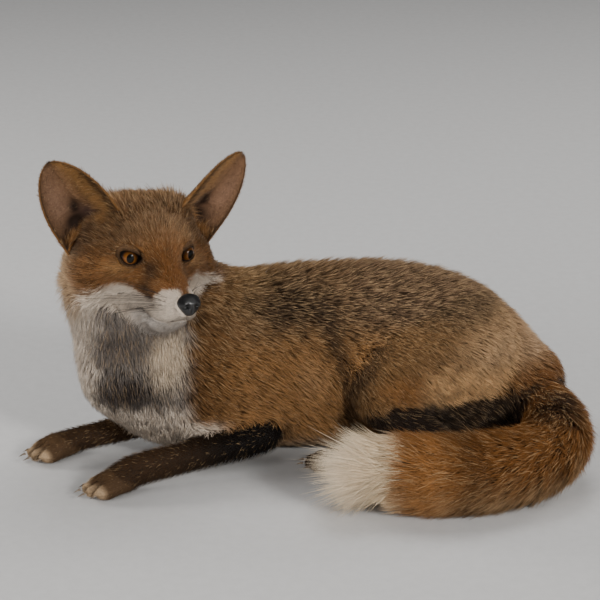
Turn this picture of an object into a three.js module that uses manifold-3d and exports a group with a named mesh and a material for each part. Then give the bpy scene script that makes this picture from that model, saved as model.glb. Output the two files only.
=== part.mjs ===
// A red fox mounted lying on its chest, forelegs stretched out, the head turned back over its left
// side and the brush laid along the left flank. Millimetres, +Z up; the fox's trunk lies along X with
// the head at -X, and -Y is its left side. Every solid reaches the tips of the coat.
import * as THREE from "three";
import { mergeVertices } from "three/addons/utils/BufferGeometryUtils.js";
import Module from "manifold-3d";

const wasm = await Module();
wasm.setup();

// ---- Driving dimensions ------------------------------------------------------------------------
const GAP = 0.4; // clearance of every parting cut
const SETTLE = 4; // how far the floor presses the coat flat
const BACK_HEIGHT = 199; // top of the coat over the ribs
const TRUNK_MIDDLE = (BACK_HEIGHT - SETTLE) / 2;
const TRUNK_HALF_HEIGHT = (BACK_HEIGHT + SETTLE) / 2;
const TRUNK_HALF_WIDTH = 68;
const NECK_RADIUS = 64;
const BRUSH_RADIUS = 42; // tail with its fur
const BRUSH_PARTINGS = [0.36, 0.72]; // shares of the brush's length at which it parts
const SMALLEST_BODY = 1000; // cubic millimetres
const FORELEG_RADIUS = 18;

// The head's own frame: origin midway between the eyes, x to the nose, y to its left, z up.
const EYE_MIDPOINT = [-136.5, -72, 228];
const HEAD_YAW = 27; // degrees that the nose points to +X of straight at -Y
const HEAD_PITCH = 2; // nose down
const HEAD_ROLL = 5; // left side down
const EYE_SPACING = 57;
const EYE_ASIDE = -1.5; // of the eyes' midpoint, to the head's left
const EYE_RADIUS = 9.5;
const NOSE_LENGTH = 76; // from the eyes' midpoint to the nose
const NOSE_DROP = 25;
const EAR_LENGTH = 88;
const EAR_WIDTH = 68;
const EAR_DEPTH = 20; // of the cup
const EAR_THICKNESS = 3;
const EAR_WIDEST = 0.12; // share of the length from which the ear narrows to its tip
const EAR_CONVEXITY = 2.4;
const EAR_TIP_ROUNDNESS = 0.6;
const EAR_END = 0.985; // share of the length at which the rounded tip ends
const EAR_LEAN = 10; // of the tip, backwards
const EAR_WRAP = 80; // degrees that the cup turns through each side of its back
const EAR_SPLAY = 36; // degrees from the head's up axis, outwards
const EAR_TURN = 25; // degrees from straight ahead, outwards
const EAR_ROOT = [-40, 51, 13]; // in the head's frame, mirrored for the right ear
const EYE_DEPTH = 1; // of an eye's middle, ahead of the head's origin
const EYE_OPENING = 11; // radius of the hollow in the coat before each eye
const EYE_TURN = 20; // degrees from straight ahead, outwards
const NOSE_SIZE = [9, 11.5, 9];

const CLAW_LENGTH = 11;
const CLAW_RADIUS = 1.9;
const CLAW_BEND = 0.022; // drop per square of the length along the claw
const CLAW_HEIGHT = 9; // of a claw's root above the floor

const CAST_STRIDE = 2.5; // of the search for a field's surface
const CAST_HALVINGS = 14;

// ---- Small helpers -----------------------------------------------------------------------------
const vec = (x, y, z) => new THREE.Vector3(x, y, z);
const rad = THREE.MathUtils.degToRad;
const UP = vec(0, 0, 1);

// Polynomial smooth minimum: rounds the seam between two fields over about `k` millimetres.
function smoothMin(a, b, k) {
  const h = Math.max(k - Math.abs(a - b), 0) / k;
  return Math.min(a, b) - (h * h * k) / 4;
}

// ---- Fields: distance-like functions of a point, negative inside --------------------------------
// A limb through stations [x, y, z, half width, half height], with rounded ends.
function limb(stations) {
  const line = new THREE.CatmullRomCurve3(stations.map(([x, y, z]) => vec(x, y, z)), false, "centripetal");
  const sizes = new THREE.CatmullRomCurve3(stations.map((s) => vec(s[3], s[4], 0)), false, "centripetal");
  const steps = 6 * (stations.length - 1);
  const samples = [];
  for (let i = 0; i <= steps; i++) {
    const along = line.getTangent(i / steps);
    const side = vec().crossVectors(UP, along).normalize();
    const size = sizes.getPoint(i / steps);
    samples.push({ at: line.getPoint(i / steps), along, side, over: vec().crossVectors(along, side), size });
  }
  const offset = vec();
  const step = vec();
  const field = (p) => {
    let best = Infinity;
    let found = null;
    for (let i = 0; i < steps; i++) {
      const a = samples[i];
      const b = samples[i + 1];
      step.subVectors(b.at, a.at);
      const t = offset.subVectors(p, a.at).dot(step) / step.lengthSq();
      const share = THREE.MathUtils.clamp(t, 0, 1);
      offset.addScaledVector(step, -share);
      const away = offset.lengthSq();
      if (away < best) {
        best = away;
        found = { a, b, share, x: offset.x, y: offset.y, z: offset.z };
      }
    }
    const { a, b, share } = found;
    offset.set(found.x, found.y, found.z);
    const wide = THREE.MathUtils.lerp(a.size.x, b.size.x, share);
    const tall = THREE.MathUtils.lerp(a.size.y, b.size.y, share);
    const frame = share < 0.5 ? a : b;
    const across = offset.dot(frame.side) / wide;
    const over = offset.dot(frame.over) / tall;
    const beyond = offset.dot(frame.along) / Math.min(wide, tall);
    const reach = Math.hypot(across, over, beyond);
    return reach < 1e-6 ? -Math.min(wide, tall) : offset.length() * (1 - 1 / reach);
  };
  field.line = line;
  return field;
}

// A rounded mass, such as a muscle or a cheek.
function mass(x, y, z, rx, ry, rz) {
  return (p) => {
    const [dx, dy, dz] = [p.x - x, p.y - y, p.z - z];
    const reach = Math.hypot(dx / rx, dy / ry, dz / rz);
    return reach < 1e-6 ? -Math.min(rx, ry, rz) : Math.hypot(dx, dy, dz) * (1 - 1 / reach);
  };
}

const blend = (k, ...fields) => (p) => fields.map((f) => f(p)).reduce((a, b) => smoothMin(a, b, k));

// ---- Solids ------------------------------------------------------------------------------------
function solidOf(geometry) {
  const bare = geometry.clone();
  bare.deleteAttribute("normal");
  bare.deleteAttribute("uv");
  const merged = mergeVertices(bare, 1e-3);
  return new wasm.Manifold(
    new wasm.Mesh({
      numProp: 3,
      vertProperties: new Float32Array(merged.attributes.position.array),
      triVerts: new Uint32Array(merged.index.array),
    }),
  );
}

function geometryOf(solid) {
  const { vertProperties, triVerts } = solid.getMesh();
  return new THREE.BufferGeometry()
    .setAttribute("position", new THREE.BufferAttribute(vertProperties, 3))
    .setIndex(new THREE.BufferAttribute(triVerts, 1));
}

const largestBody = (solid) => solid.decompose().reduce((a, b) => (b.volume() > a.volume() ? b : a));

// Distance from `from` along `way` to where the field rises through `level`.
function castOut(field, from, way, level) {
  const p = vec();
  const at = (r) => field(p.copy(from).addScaledVector(way, r)) - level;
  let far = CAST_STRIDE;
  while (at(far) < 0) far += CAST_STRIDE;
  let near = far - CAST_STRIDE;
  for (let i = 0; i < CAST_HALVINGS; i++) {
    const middle = (near + far) / 2;
    if (at(middle) < 0) near = middle;
    else far = middle;
  }
  return (near + far) / 2;
}

// The field's surface, found by casting out from a line inside it: `rings` rings of `sides` points
// along the line and `caps` more round each end.
function skinAlong(field, line, { rings, sides, caps = 3, level = 0 }) {
  const points = [];
  const ringAt = (t, lean) => {
    const from = line.getPoint(t);
    const along = line.getTangent(t);
    const side = vec().crossVectors(UP, along).normalize();
    const over = vec().crossVectors(along, side);
    for (let i = 0; i < sides; i++) {
      const turn = (2 * Math.PI * i) / sides;
      const way = vec()
        .addScaledVector(side, Math.cos(turn) * Math.cos(lean))
        .addScaledVector(over, Math.sin(turn) * Math.cos(lean))
        .addScaledVector(along, Math.sin(lean));
      points.push(from.clone().addScaledVector(way, castOut(field, from, way, level)));
    }
  };
  const pole = (t, sign) => {
    const way = line.getTangent(t).multiplyScalar(sign);
    const from = line.getPoint(t);
    points.push(from.clone().addScaledVector(way, castOut(field, from, way, level)));
  };
  pole(0, -1);
  for (let i = caps; i >= 1; i--) ringAt(0, (-Math.PI / 2) * (i / (caps + 1)));
  for (let i = 0; i < rings; i++) ringAt(i / (rings - 1), 0);
  for (let i = 1; i <= caps; i++) ringAt(1, (Math.PI / 2) * (i / (caps + 1)));
  pole(1, 1);

  const all = rings + 2 * caps;
  const last = points.length - 1;
  const index = [];
  for (let i = 0; i < sides; i++) {
    const j = (i + 1) % sides;
    index.push(0, 1 + j, 1 + i);
    index.push(last, 1 + (all - 1) * sides + i, 1 + (all - 1) * sides + j);
    for (let ring = 0; ring < all - 1; ring++) {
      const [a, b] = [1 + ring * sides + i, 1 + ring * sides + j];
      index.push(a, b, a + sides, b, b + sides, a + sides);
    }
  }
  const geometry = new THREE.BufferGeometry().setFromPoints(points);
  return geometry.setIndex(index);
}

// ---- The head's frame --------------------------------------------------------------------------
const headFrame = new THREE.Matrix4()
  .makeTranslation(...EYE_MIDPOINT)
  .multiply(new THREE.Matrix4().makeRotationZ(rad(HEAD_YAW - 90)))
  .multiply(new THREE.Matrix4().makeRotationY(rad(HEAD_PITCH)))
  .multiply(new THREE.Matrix4().makeRotationX(-rad(HEAD_ROLL)));

// A field written in a frame of its own, read in the part's frame.
function placed(frame, field) {
  const back = frame.clone().invert();
  const local = vec();
  return (p) => field(local.copy(p).applyMatrix4(back));
}

const curveIn = (frame, points) =>
  new THREE.CatmullRomCurve3(points.map((p) => vec(...p).applyMatrix4(frame)));

// ---- Trunk, neck and head ----------------------------------------------------------------------
const trunkField = blend(
  24,
  limb([
    [-168, -37, 104, 58, 64],
    [-112, -24, 87, 62, 83],
    [-45, -4, TRUNK_MIDDLE - 2, TRUNK_HALF_WIDTH, TRUNK_HALF_HEIGHT - 3],
    [30, 2, TRUNK_MIDDLE, TRUNK_HALF_WIDTH, TRUNK_HALF_HEIGHT],
    [90, 2, TRUNK_MIDDLE, 72, TRUNK_HALF_HEIGHT],
    [142, -2, 92, 74, 94],
    [188, -8, 81, 66, 75],
    [222, -14, 70, 48, 52],
  ]),
  mass(-70, -42, 92, 46, 34, 58),
  mass(-70, 34, 92, 46, 34, 58),
);
const trunkLine = new THREE.CatmullRomCurve3([
  vec(-160, -38, 74),
  vec(-45, -4, 95),
  vec(90, 2, 96),
  vec(212, -12, 74),
]);

const neckField = limb([
  [-66, -4, 128, NECK_RADIUS, NECK_RADIUS],
  [-112, -12, 134, NECK_RADIUS + 2, NECK_RADIUS],
  [-166, -26, 140, NECK_RADIUS + 2, NECK_RADIUS - 2],
  [-178, -25, 174, NECK_RADIUS - 2, NECK_RADIUS - 5],
]);

const headField = placed(
  headFrame,
  blend(
    14,
    limb([
      [-62, 0, -8, 52, 47],
      [-46, 0, -3, 59, 50],
      [-26, 0, -2, 52, 47],
      [-4, 0, -8, 38, 37],
      [16, 0, -18, 24, 26],
      [40, 0, -27, 17, 19],
      [66, 0, -29, 14, 15],
    ]),
    mass(-42, 46, -26, 42, 37, 38),
    mass(-42, -46, -26, 42, 37, 38),
    mass(-16, 24, -34, 30, 22, 26),
    mass(-16, -24, -34, 30, 22, 26),
    limb([
      [-24, 0, -50, 38, 24],
      [16, 0, -57, 21, 17],
      [42, 0, -52, 14, 12],
      [60, 0, -47, 10, 7],
    ]),
  ),
);
const headSpine = curveIn(headFrame, [
  [-60, 0, -10],
  [-30, 0, -10],
  [10, 0, -22],
  [40, 0, -32],
  [62, 0, -33],
]);

// ---- Ears, eyes and nose -----------------------------------------------------------------------
// A cupped leaf: a box bent so that each cross-section is half an ellipse open to +Z, with the ear's
// length along +Y and its width along X.
function earShape() {
  const leaf = new THREE.BoxGeometry(2, 1, 1, 8, 8, 1);
  const at = leaf.attributes.position;
  for (let i = 0; i < at.count; i++) {
    const along = (at.getY(i) + 0.5) * EAR_END;
    const inner = (at.getZ(i) + 0.5) * EAR_THICKNESS;
    const turn = at.getX(i) * rad(EAR_WRAP);
    const taper = Math.max(along - EAR_WIDEST, 0) / (1 - EAR_WIDEST);
    const half = (EAR_WIDTH / 2) * (1 - taper ** EAR_CONVEXITY) ** EAR_TIP_ROUNDNESS;
    const depth = EAR_THICKNESS + EAR_DEPTH * (1 - along);
    at.setXYZ(
      i,
      ((half - inner) * Math.sin(turn)) / Math.sin(rad(EAR_WRAP)),
      EAR_LENGTH * along,
      EAR_DEPTH / 2 - (depth - inner) * Math.cos(turn) - EAR_LEAN * along * along,
    );
  }
  return leaf;
}

function earFrame(side) {
  const outwards = vec(0, side, 0);
  const open = vec(Math.cos(rad(EAR_TURN)), 0, 0).addScaledVector(outwards, Math.sin(rad(EAR_TURN)));
  const up = vec(0, 0, Math.cos(rad(EAR_SPLAY))).addScaledVector(outwards, Math.sin(rad(EAR_SPLAY)));
  const across = vec().crossVectors(up, open).normalize();
  open.crossVectors(across, up);
  const frame = new THREE.Matrix4().makeBasis(across, up, open);
  return headFrame.clone().multiply(frame.setPosition(EAR_ROOT[0], side * EAR_ROOT[1], EAR_ROOT[2]));
}

const ball = (radius, frame) => solidOf(new THREE.SphereGeometry(radius, 12, 7).applyMatrix4(frame));

// An eye's frame: origin at its middle, x along its gaze.
const eyeFrame = (side) =>
  headFrame
    .clone()
    .multiply(new THREE.Matrix4().makeTranslation(EYE_DEPTH, (side * EYE_SPACING) / 2 + EYE_ASIDE, 0))
    .multiply(new THREE.Matrix4().makeRotationZ(rad(side * EYE_TURN)));

// ---- Legs and feet -----------------------------------------------------------------------------
// A foot's frame: origin on the floor under its middle, x to the toes, y to its left, z up.
const footFrame = ([x, y], heading) =>
  new THREE.Matrix4().makeTranslation(x, y, 0).multiply(new THREE.Matrix4().makeRotationZ(rad(heading)));

const TOES = [
  { ahead: 8, aside: -15 },
  { ahead: 17, aside: -5.5 },
  { ahead: 17, aside: 5.5 },
  { ahead: 8, aside: 15 },
];

const FOOT_LINE = [[-20, 0, 11], [0, 0, 10], [8, 0, 9.5]];
const HIND_PAW_SIZE = 0.92; // of a hind paw against a forepaw

// A foot: its round body from the ankle and four toes.
function footField(frame, size) {
  const toes = TOES.map(({ ahead, aside }) => mass(ahead * size, aside * size, 9, 14 * size, 6.6 * size, 9.5));
  return placed(frame, blend(5, mass(-9, 0, 13, 24 * size, 19 * size, 16), ...toes));
}

// The claws of one foot: cones that bend to the floor, each leaving the front of its toe.
function claws(name, frame, footCut, size) {
  TOES.forEach(({ ahead, aside }, i) => {
    const cone = new THREE.ConeGeometry(CLAW_RADIUS, CLAW_LENGTH, 5, 2).translate(0, CLAW_LENGTH / 2, 0);
    const at = cone.attributes.position;
    for (let k = 0; k < at.count; k++) {
      const along = at.getY(k);
      at.setXYZ(k, along, at.getX(k), -at.getZ(k) - CLAW_BEND * along ** 2);
    }
    cone.translate((ahead + 9) * size, aside * size, CLAW_HEIGHT).applyMatrix4(frame);
    add(`claw_${name}_${i + 1}`, largestBody(solidOf(cone).subtract(footCut).subtract(floor)), "#4a3d33", 0.5);
  });
}

// ---- Assembly ----------------------------------------------------------------------------------
const floor = solidOf(new THREE.BoxGeometry(1200, 1200, 200).translate(0, 0, -100));
const fox = new THREE.Group();

function add(name, solid, color, roughness = 0.9) {
  const material = new THREE.MeshStandardMaterial({ color, roughness, metalness: 0 });
  const mesh = new THREE.Mesh(geometryOf(solid), material);
  mesh.name = name;
  fox.add(mesh);
}

// A field's solid, and the same solid grown by the parting gap to cut its neighbours with.
function bothOf(field, line, shape) {
  return [solidOf(skinAlong(field, line, shape)), solidOf(skinAlong(field, line, { ...shape, level: GAP }))];
}

const [head, headCut] = bothOf(headField, headSpine, { rings: 16, sides: 18 });
const [trunk, trunkCut] = bothOf(trunkField, trunkLine, { rings: 11, sides: 18 });
const [neck, neckCut] = bothOf(neckField, neckField.line, { rings: 5, sides: 14 });

const noseFrame = headFrame.clone().multiply(new THREE.Matrix4().makeTranslation(NOSE_LENGTH, 0, -NOSE_DROP));
const noseOf = (grow) =>
  ball(1, noseFrame.clone().multiply(new THREE.Matrix4().makeScale(...NOSE_SIZE.map((size) => size + grow))));

const SIDES = [["left", 1], ["right", -1]];
let face = head.subtract(noseOf(GAP));
for (const [name, side] of SIDES) {
  const eye = eyeFrame(side);
  const hollow = eye.clone().multiply(new THREE.Matrix4().makeTranslation(EYE_OPENING, 0, 0));
  face = face.subtract(ball(EYE_RADIUS + GAP, eye)).subtract(ball(EYE_OPENING, hollow));
  add(`eye_${name}`, ball(EYE_RADIUS, eye), "#3a1c0a", 0.1);
  const ear = solidOf(earShape().applyMatrix4(earFrame(side)));
  add(`ear_${name}`, largestBody(ear.subtract(headCut).subtract(neckCut)), "#8a6038");
}
add("head", largestBody(face), "#a5703a");
add("nose", noseOf(0), "#1b1a1c", 0.4);
add("neck", largestBody(neck.subtract(headCut).subtract(trunkCut)), "#8d8580");
add("trunk", largestBody(trunk.subtract(headCut).subtract(floor)), "#9a6a3a");

// ---- Forelegs ----------------------------------------------------------------------------------
const FORELEGS = {
  left: {
    leg: [
      [-36, -58, 31, 22, 22],
      [-62, -70, 27, 21, 20],
      [-105, -88, 23, FORELEG_RADIUS, FORELEG_RADIUS],
      [-150, -113, 22, FORELEG_RADIUS, FORELEG_RADIUS + 2],
      [-170, -122, 19, FORELEG_RADIUS, FORELEG_RADIUS],
    ],
    paw: [-184, -129],
    heading: 206,
  },
  right: {
    leg: [
      [-60, 52, 31, 22, 22],
      [-96, 34, 27, 21, 20],
      [-150, 2, 23, FORELEG_RADIUS, FORELEG_RADIUS],
      [-206, -24, 18, FORELEG_RADIUS - 2, FORELEG_RADIUS - 2],
      [-232, -34, 16, FORELEG_RADIUS - 2, FORELEG_RADIUS - 3],
    ],
    paw: [-247, -41],
    heading: 209,
  },
};
for (const [name, { leg, paw, heading }] of Object.entries(FORELEGS)) {
  const frame = footFrame(paw, heading);
  const field = footField(frame, 1);
  const line = curveIn(frame, FOOT_LINE);
  const [foot, footCut] = bothOf(field, line, { rings: 3, sides: 12, caps: 3 });
  const foreleg = limb(leg);
  const arm = solidOf(skinAlong(foreleg, foreleg.line, { rings: 7, sides: 10, caps: 2 }));
  add(`foreleg_${name}`, largestBody(arm.subtract(trunkCut).subtract(footCut).subtract(floor)), "#4a3020");
  add(`forepaw_${name}`, foot.subtract(floor), "#6b4a2c");
  claws(`fore_${name}`, frame, footCut, 1);
}

// ---- Hind legs ---------------------------------------------------------------------------------
const HIND_LEGS = {
  left: {
    thigh: [[158, -26, 112, 62, 66], [110, -52, 104, 44, 50], [78, -66, 84, 32, 36]],
    shank: [[82, -72, 66, 27, 26], [128, -88, 42, 22, 20], [158, -92, 28, 17, 16]],
    foot: [[160, -92, 18, 16, 16], [112, -86, 11, 14, 13], [62, -76, 10, 14, 13], [46, -74, 10, 15, 13]],
    paw: [30, -72],
    heading: 172,
  },
  right: {
    thigh: [[158, 24, 108, 60, 62], [112, 50, 98, 44, 46], [82, 64, 78, 30, 32]],
    shank: [[86, 70, 62, 26, 25], [130, 84, 42, 21, 20], [160, 90, 28, 17, 16]],
    foot: [[162, 90, 18, 16, 16], [112, 88, 11, 14, 13], [54, 84, 10, 14, 13], [38, 83, 10, 15, 13]],
    paw: [22, 82],
    heading: 184,
  },
};
const legCuts = [];
for (const [name, { thigh, shank, foot, paw, heading }] of Object.entries(HIND_LEGS)) {
  const frame = footFrame(paw, heading);
  const pawField = footField(frame, HIND_PAW_SIZE);
  const pawLine = curveIn(frame, FOOT_LINE);
  const [toes, toesCut] = bothOf(pawField, pawLine, { rings: 3, sides: 12, caps: 3 });
  const [thighField, shankField, soleField] = [thigh, shank, foot].map(limb);
  const [upper, upperCut] = bothOf(thighField, thighField.line, { rings: 5, sides: 14 });
  const [lower, lowerCut] = bothOf(shankField, shankField.line, { rings: 4, sides: 10, caps: 2 });
  const [sole, soleCut] = bothOf(soleField, soleField.line, { rings: 5, sides: 10, caps: 2 });
  add(`thigh_${name}`, largestBody(upper.subtract(trunkCut).subtract(floor)), "#9a6a3a");
  const shin = lower.subtract(upperCut).subtract(trunkCut).subtract(soleCut).subtract(floor);
  add(`shank_${name}`, largestBody(shin), "#4a3526");
  add(`hind_foot_${name}`, largestBody(sole.subtract(trunkCut).subtract(toesCut).subtract(floor)), "#3a2a20");
  add(`hind_paw_${name}`, largestBody(toes.subtract(trunkCut).subtract(floor)), "#5a4028");
  claws(`hind_${name}`, frame, toesCut, HIND_PAW_SIZE);
  legCuts.push(upperCut, lowerCut, soleCut);
}

// ---- Brush -------------------------------------------------------------------------------------
const brushField = limb([
  [226, -20, 74, 26, 26],
  [249, -64, 56, 34, 33],
  [245, -116, 44, BRUSH_RADIUS - 2, BRUSH_RADIUS - 2],
  [200, -150, BRUSH_RADIUS - SETTLE, BRUSH_RADIUS, BRUSH_RADIUS],
  [140, -166, BRUSH_RADIUS - SETTLE, BRUSH_RADIUS, BRUSH_RADIUS],
  [85, -168, BRUSH_RADIUS + 4 - SETTLE, BRUSH_RADIUS + 3, BRUSH_RADIUS + 4],
  [52, -171, BRUSH_RADIUS - 4 - SETTLE, BRUSH_RADIUS - 2, BRUSH_RADIUS - 4],
  [30, -173, 27, 26, 24],
]);
const wholeBrush = solidOf(skinAlong(brushField, brushField.line, { rings: 18, sides: 12 }));
let brush = [trunkCut, ...legCuts].reduce((solid, cut) => solid.subtract(cut), wholeBrush);
brush = largestBody(brush.subtract(floor));
for (const share of BRUSH_PARTINGS) {
  const turn = new THREE.Quaternion().setFromUnitVectors(vec(0, 1, 0), brushField.line.getTangentAt(share));
  const slice = new THREE.CylinderGeometry(1.4 * BRUSH_RADIUS, 1.4 * BRUSH_RADIUS, GAP, 24).applyQuaternion(turn);
  brush = brush.subtract(solidOf(slice.translate(...brushField.line.getPointAt(share))));
}
const lengths = brush.decompose().filter((solid) => solid.volume() > SMALLEST_BODY);
const nearest = (solid) => {
  const { min, max } = solid.boundingBox();
  const middle = vec(...min).add(vec(...max)).multiplyScalar(0.5);
  const shares = Array.from({ length: 41 }, (_, i) => i / 40);
  const away = shares.map((share) => brushField.line.getPointAt(share).distanceTo(middle));
  return shares[away.indexOf(Math.min(...away))];
};
lengths.sort((a, b) => nearest(a) - nearest(b));
["tail_base", "tail_middle", "tail_tip"].forEach((name, i) => add(name, lengths[i], "#a06a36"));

// ---- The part's frame: origin at the middle of the base of its bounding box ---------------------
const box = new THREE.Box3().setFromObject(fox);
const middle = box.getCenter(vec());
fox.children.forEach((mesh) => mesh.geometry.translate(-middle.x, -middle.y, -box.min.z));

export default fox;
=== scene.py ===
import math

import bmesh
import bpy
import numpy as np
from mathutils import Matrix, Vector
from mathutils.bvhtree import BVHTree


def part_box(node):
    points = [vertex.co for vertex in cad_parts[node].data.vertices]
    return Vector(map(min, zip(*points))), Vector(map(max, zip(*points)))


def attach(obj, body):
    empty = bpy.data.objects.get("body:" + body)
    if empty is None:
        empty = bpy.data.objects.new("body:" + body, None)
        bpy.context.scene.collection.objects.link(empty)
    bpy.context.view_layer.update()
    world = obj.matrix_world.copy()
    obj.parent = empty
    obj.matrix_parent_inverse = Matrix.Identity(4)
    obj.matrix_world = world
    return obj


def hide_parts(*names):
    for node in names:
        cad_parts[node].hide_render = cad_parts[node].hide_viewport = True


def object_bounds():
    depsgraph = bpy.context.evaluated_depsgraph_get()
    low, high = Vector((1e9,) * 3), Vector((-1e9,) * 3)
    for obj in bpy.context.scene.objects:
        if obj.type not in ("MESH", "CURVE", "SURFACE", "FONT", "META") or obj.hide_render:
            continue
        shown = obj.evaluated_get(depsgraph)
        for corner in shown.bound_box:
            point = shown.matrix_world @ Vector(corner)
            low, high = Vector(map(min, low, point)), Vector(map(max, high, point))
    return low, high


# A lying red fox, mounted. Lengths are millimetres in the fox's own frame: x along the trunk to the
# rump, y to its right side, z up from the floor; pieces are written in metres in the part's frame.
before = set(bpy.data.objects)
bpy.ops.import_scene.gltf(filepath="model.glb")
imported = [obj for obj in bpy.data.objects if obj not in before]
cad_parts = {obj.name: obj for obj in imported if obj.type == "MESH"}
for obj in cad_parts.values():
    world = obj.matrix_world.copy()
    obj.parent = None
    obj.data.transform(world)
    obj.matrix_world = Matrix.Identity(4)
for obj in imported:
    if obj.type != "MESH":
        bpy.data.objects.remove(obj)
CAD_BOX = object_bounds()
MM = 1000.0
rng = np.random.default_rng(11)


def vec(*v):
    return np.array(v, float)


def unit(v):
    return v / np.maximum(np.linalg.norm(v, axis=-1, keepdims=True), 1e-9)


def smooth_step(a, b, x):
    t = np.clip((x - a) / (b - a), 0, 1)
    return t * t * (3 - 2 * t)


def bell(x, middle, spread):
    return np.exp(-(((x - middle) / spread) ** 2))


def blot(x, y, x0, y0, half_x, half_y, flat=1.0):
    """A soft round patch, 1 in its middle; `flat` above 1 gives it a level top."""
    return np.exp(-((((x - x0) / half_x) ** 2 + ((y - y0) / half_y) ** 2) ** flat))


def mix(a, b, t):
    """a at t = 0, b at t = 1; t has one value for each vector where a or b are vectors."""
    a, b, t = np.asarray(a, float), np.asarray(b, float), np.asarray(t, float)
    if t.ndim and (a.shape[-1:] == (3,) or b.shape[-1:] == (3,)):
        t = t[..., None]
    return a + (b - a) * t


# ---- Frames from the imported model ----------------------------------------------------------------
def centre(node):
    lo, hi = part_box(node)
    return (np.array(lo) + np.array(hi)) / 2 * MM


EYE_MIDPOINT = vec(-136.5, -72, 228)
EYE_DEPTH, EYE_ASIDE = 1.0, -1.5
EYE_RADIUS = 9.5
EYE_TURN = math.radians(20)
NOSE_AHEAD, NOSE_BELOW = 75.0, 25.0
eye_l, eye_r, nose_c = centre("eye_left"), centre("eye_right"), centre("nose")
HEAD_Y = unit(eye_l - eye_r)
between = (eye_l + eye_r) / 2 - EYE_ASIDE * HEAD_Y
to_nose = unit(nose_c - between)
dip = math.atan2(NOSE_BELOW, NOSE_AHEAD)
over = np.cross(to_nose, HEAD_Y)
HEAD_X = math.cos(dip) * to_nose + math.sin(dip) * over
HEAD_Z = np.cross(HEAD_X, HEAD_Y)
HEAD_0 = between - EYE_DEPTH * HEAD_X
ORIGIN = HEAD_0 - EYE_MIDPOINT
HEAD_AXES = np.stack([HEAD_X, HEAD_Y, HEAD_Z])


def to_head(p):
    return (p - EYE_MIDPOINT) @ HEAD_AXES.T


def from_head(q):
    return np.asarray(q, float) @ HEAD_AXES + EYE_MIDPOINT


EYES = {1: eye_l - ORIGIN, -1: eye_r - ORIGIN}
GAZE = {
    s: math.cos(EYE_TURN) * HEAD_X + s * math.sin(EYE_TURN) * HEAD_Y for s in (1, -1)
}


# ---- Mesh helpers --------------------------------------------------------------------------------
def make_mesh(name, verts, faces, smooth=True):
    """faces: an (n, 3) or (n, 4) array, or a list of such arrays. Vertices in mm."""
    if isinstance(faces, np.ndarray):
        faces = [faces]
    loops = np.concatenate([f.ravel() for f in faces]).astype(np.int32)
    sizes = np.concatenate([np.full(len(f), f.shape[1]) for f in faces])
    starts = np.concatenate([[0], np.cumsum(sizes)[:-1]]).astype(np.int32)
    mesh = bpy.data.meshes.new(name)
    mesh.vertices.add(len(verts))
    mesh.vertices.foreach_set("co", ((verts + ORIGIN) / MM).ravel())
    mesh.loops.add(len(loops))
    mesh.loops.foreach_set("vertex_index", loops)
    mesh.polygons.add(len(sizes))
    mesh.polygons.foreach_set("loop_start", starts)
    mesh.polygons.foreach_set("use_smooth", np.full(len(sizes), smooth))
    mesh.update(calc_edges=True)
    return mesh


def add_piece(name, mesh, slot, material, replaces=()):
    obj = bpy.data.objects.new(name, mesh)
    bpy.context.scene.collection.objects.link(obj)
    mesh.materials.append(material)
    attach(obj, "root")
    if replaces:
        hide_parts(*replaces)
    return obj


def colour_attribute(mesh, name, rgb):
    attr = mesh.attributes.new(name, "FLOAT_COLOR", "POINT")
    attr.data.foreach_set("color", np.concatenate([rgb, np.ones((len(rgb), 1))], 1).ravel())


def vector_attribute(mesh, name, values):
    mesh.attributes.new(name, "FLOAT_VECTOR", "POINT").data.foreach_set("vector", values.ravel())


def read_mesh(mesh, corners):
    """A mesh's vertices and its faces, which all have that many corners."""
    v = np.empty(len(mesh.vertices) * 3)
    mesh.vertices.foreach_get("co", v)
    f = np.empty(len(mesh.loops), np.int32)
    mesh.loops.foreach_get("vertex_index", f)
    return v.reshape(-1, 3) * MM - ORIGIN, f.reshape(-1, corners)


def cad_mesh(node):
    return read_mesh(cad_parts[node].data, 3)


def merged(parts):
    """Several (vertices, faces) as one."""
    starts = np.cumsum([0] + [len(v) for v, _ in parts])
    return np.concatenate([v for v, _ in parts]), np.concatenate([f + k for (_, f), k in zip(parts, starts)])


def tree_of(verts, faces):
    return BVHTree.FromPolygons(verts.tolist(), faces.tolist())


def halved(quads):
    return np.concatenate([quads[:, [0, 1, 2]], quads[:, [0, 2, 3]]])


def band(rows):
    """Quads between rows of vertex numbers that each close on themselves."""
    after = np.roll(rows, -1, 1)
    return np.stack([rows[:-1], after[:-1], after[1:], rows[1:]], -1).reshape(-1, 4)


def unit_sphere(rings, around):
    """A unit sphere's points, with its poles on the first axis, and its triangles."""
    polar = np.linspace(0, math.pi, rings + 1)[1:-1]
    turn = np.arange(around) * 2 * math.pi / around
    body = [np.outer(np.cos(polar), np.ones(around))]
    body += [np.outer(np.sin(polar), np.cos(turn)), np.outer(np.sin(polar), np.sin(turn))]
    points = np.concatenate([[[1, 0, 0]], np.stack(body, -1).reshape(-1, 3), [[-1, 0, 0]]])
    last = 1 + (rings - 2) * around
    faces = []
    for i in range(around):
        j = (i + 1) % around
        faces += [(0, 1 + i, 1 + j), (len(points) - 1, last + j, last + i)]
        for row in range(1, last, around):
            a, b = row + i, row + j
            faces += [(a, a + around, b), (b, a + around, b + around)]
    return points, np.array(faces)


def edge_pairs(faces):
    n = faces.shape[1]
    pairs = np.concatenate([faces[:, [i, (i + 1) % n]] for i in range(n)])
    pairs = np.sort(pairs, 1)
    pairs = np.unique(pairs[:, 0].astype(np.int64) << 32 | pairs[:, 1])
    return np.stack([pairs >> 32, pairs & 0xFFFFFFFF], 1)


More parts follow.
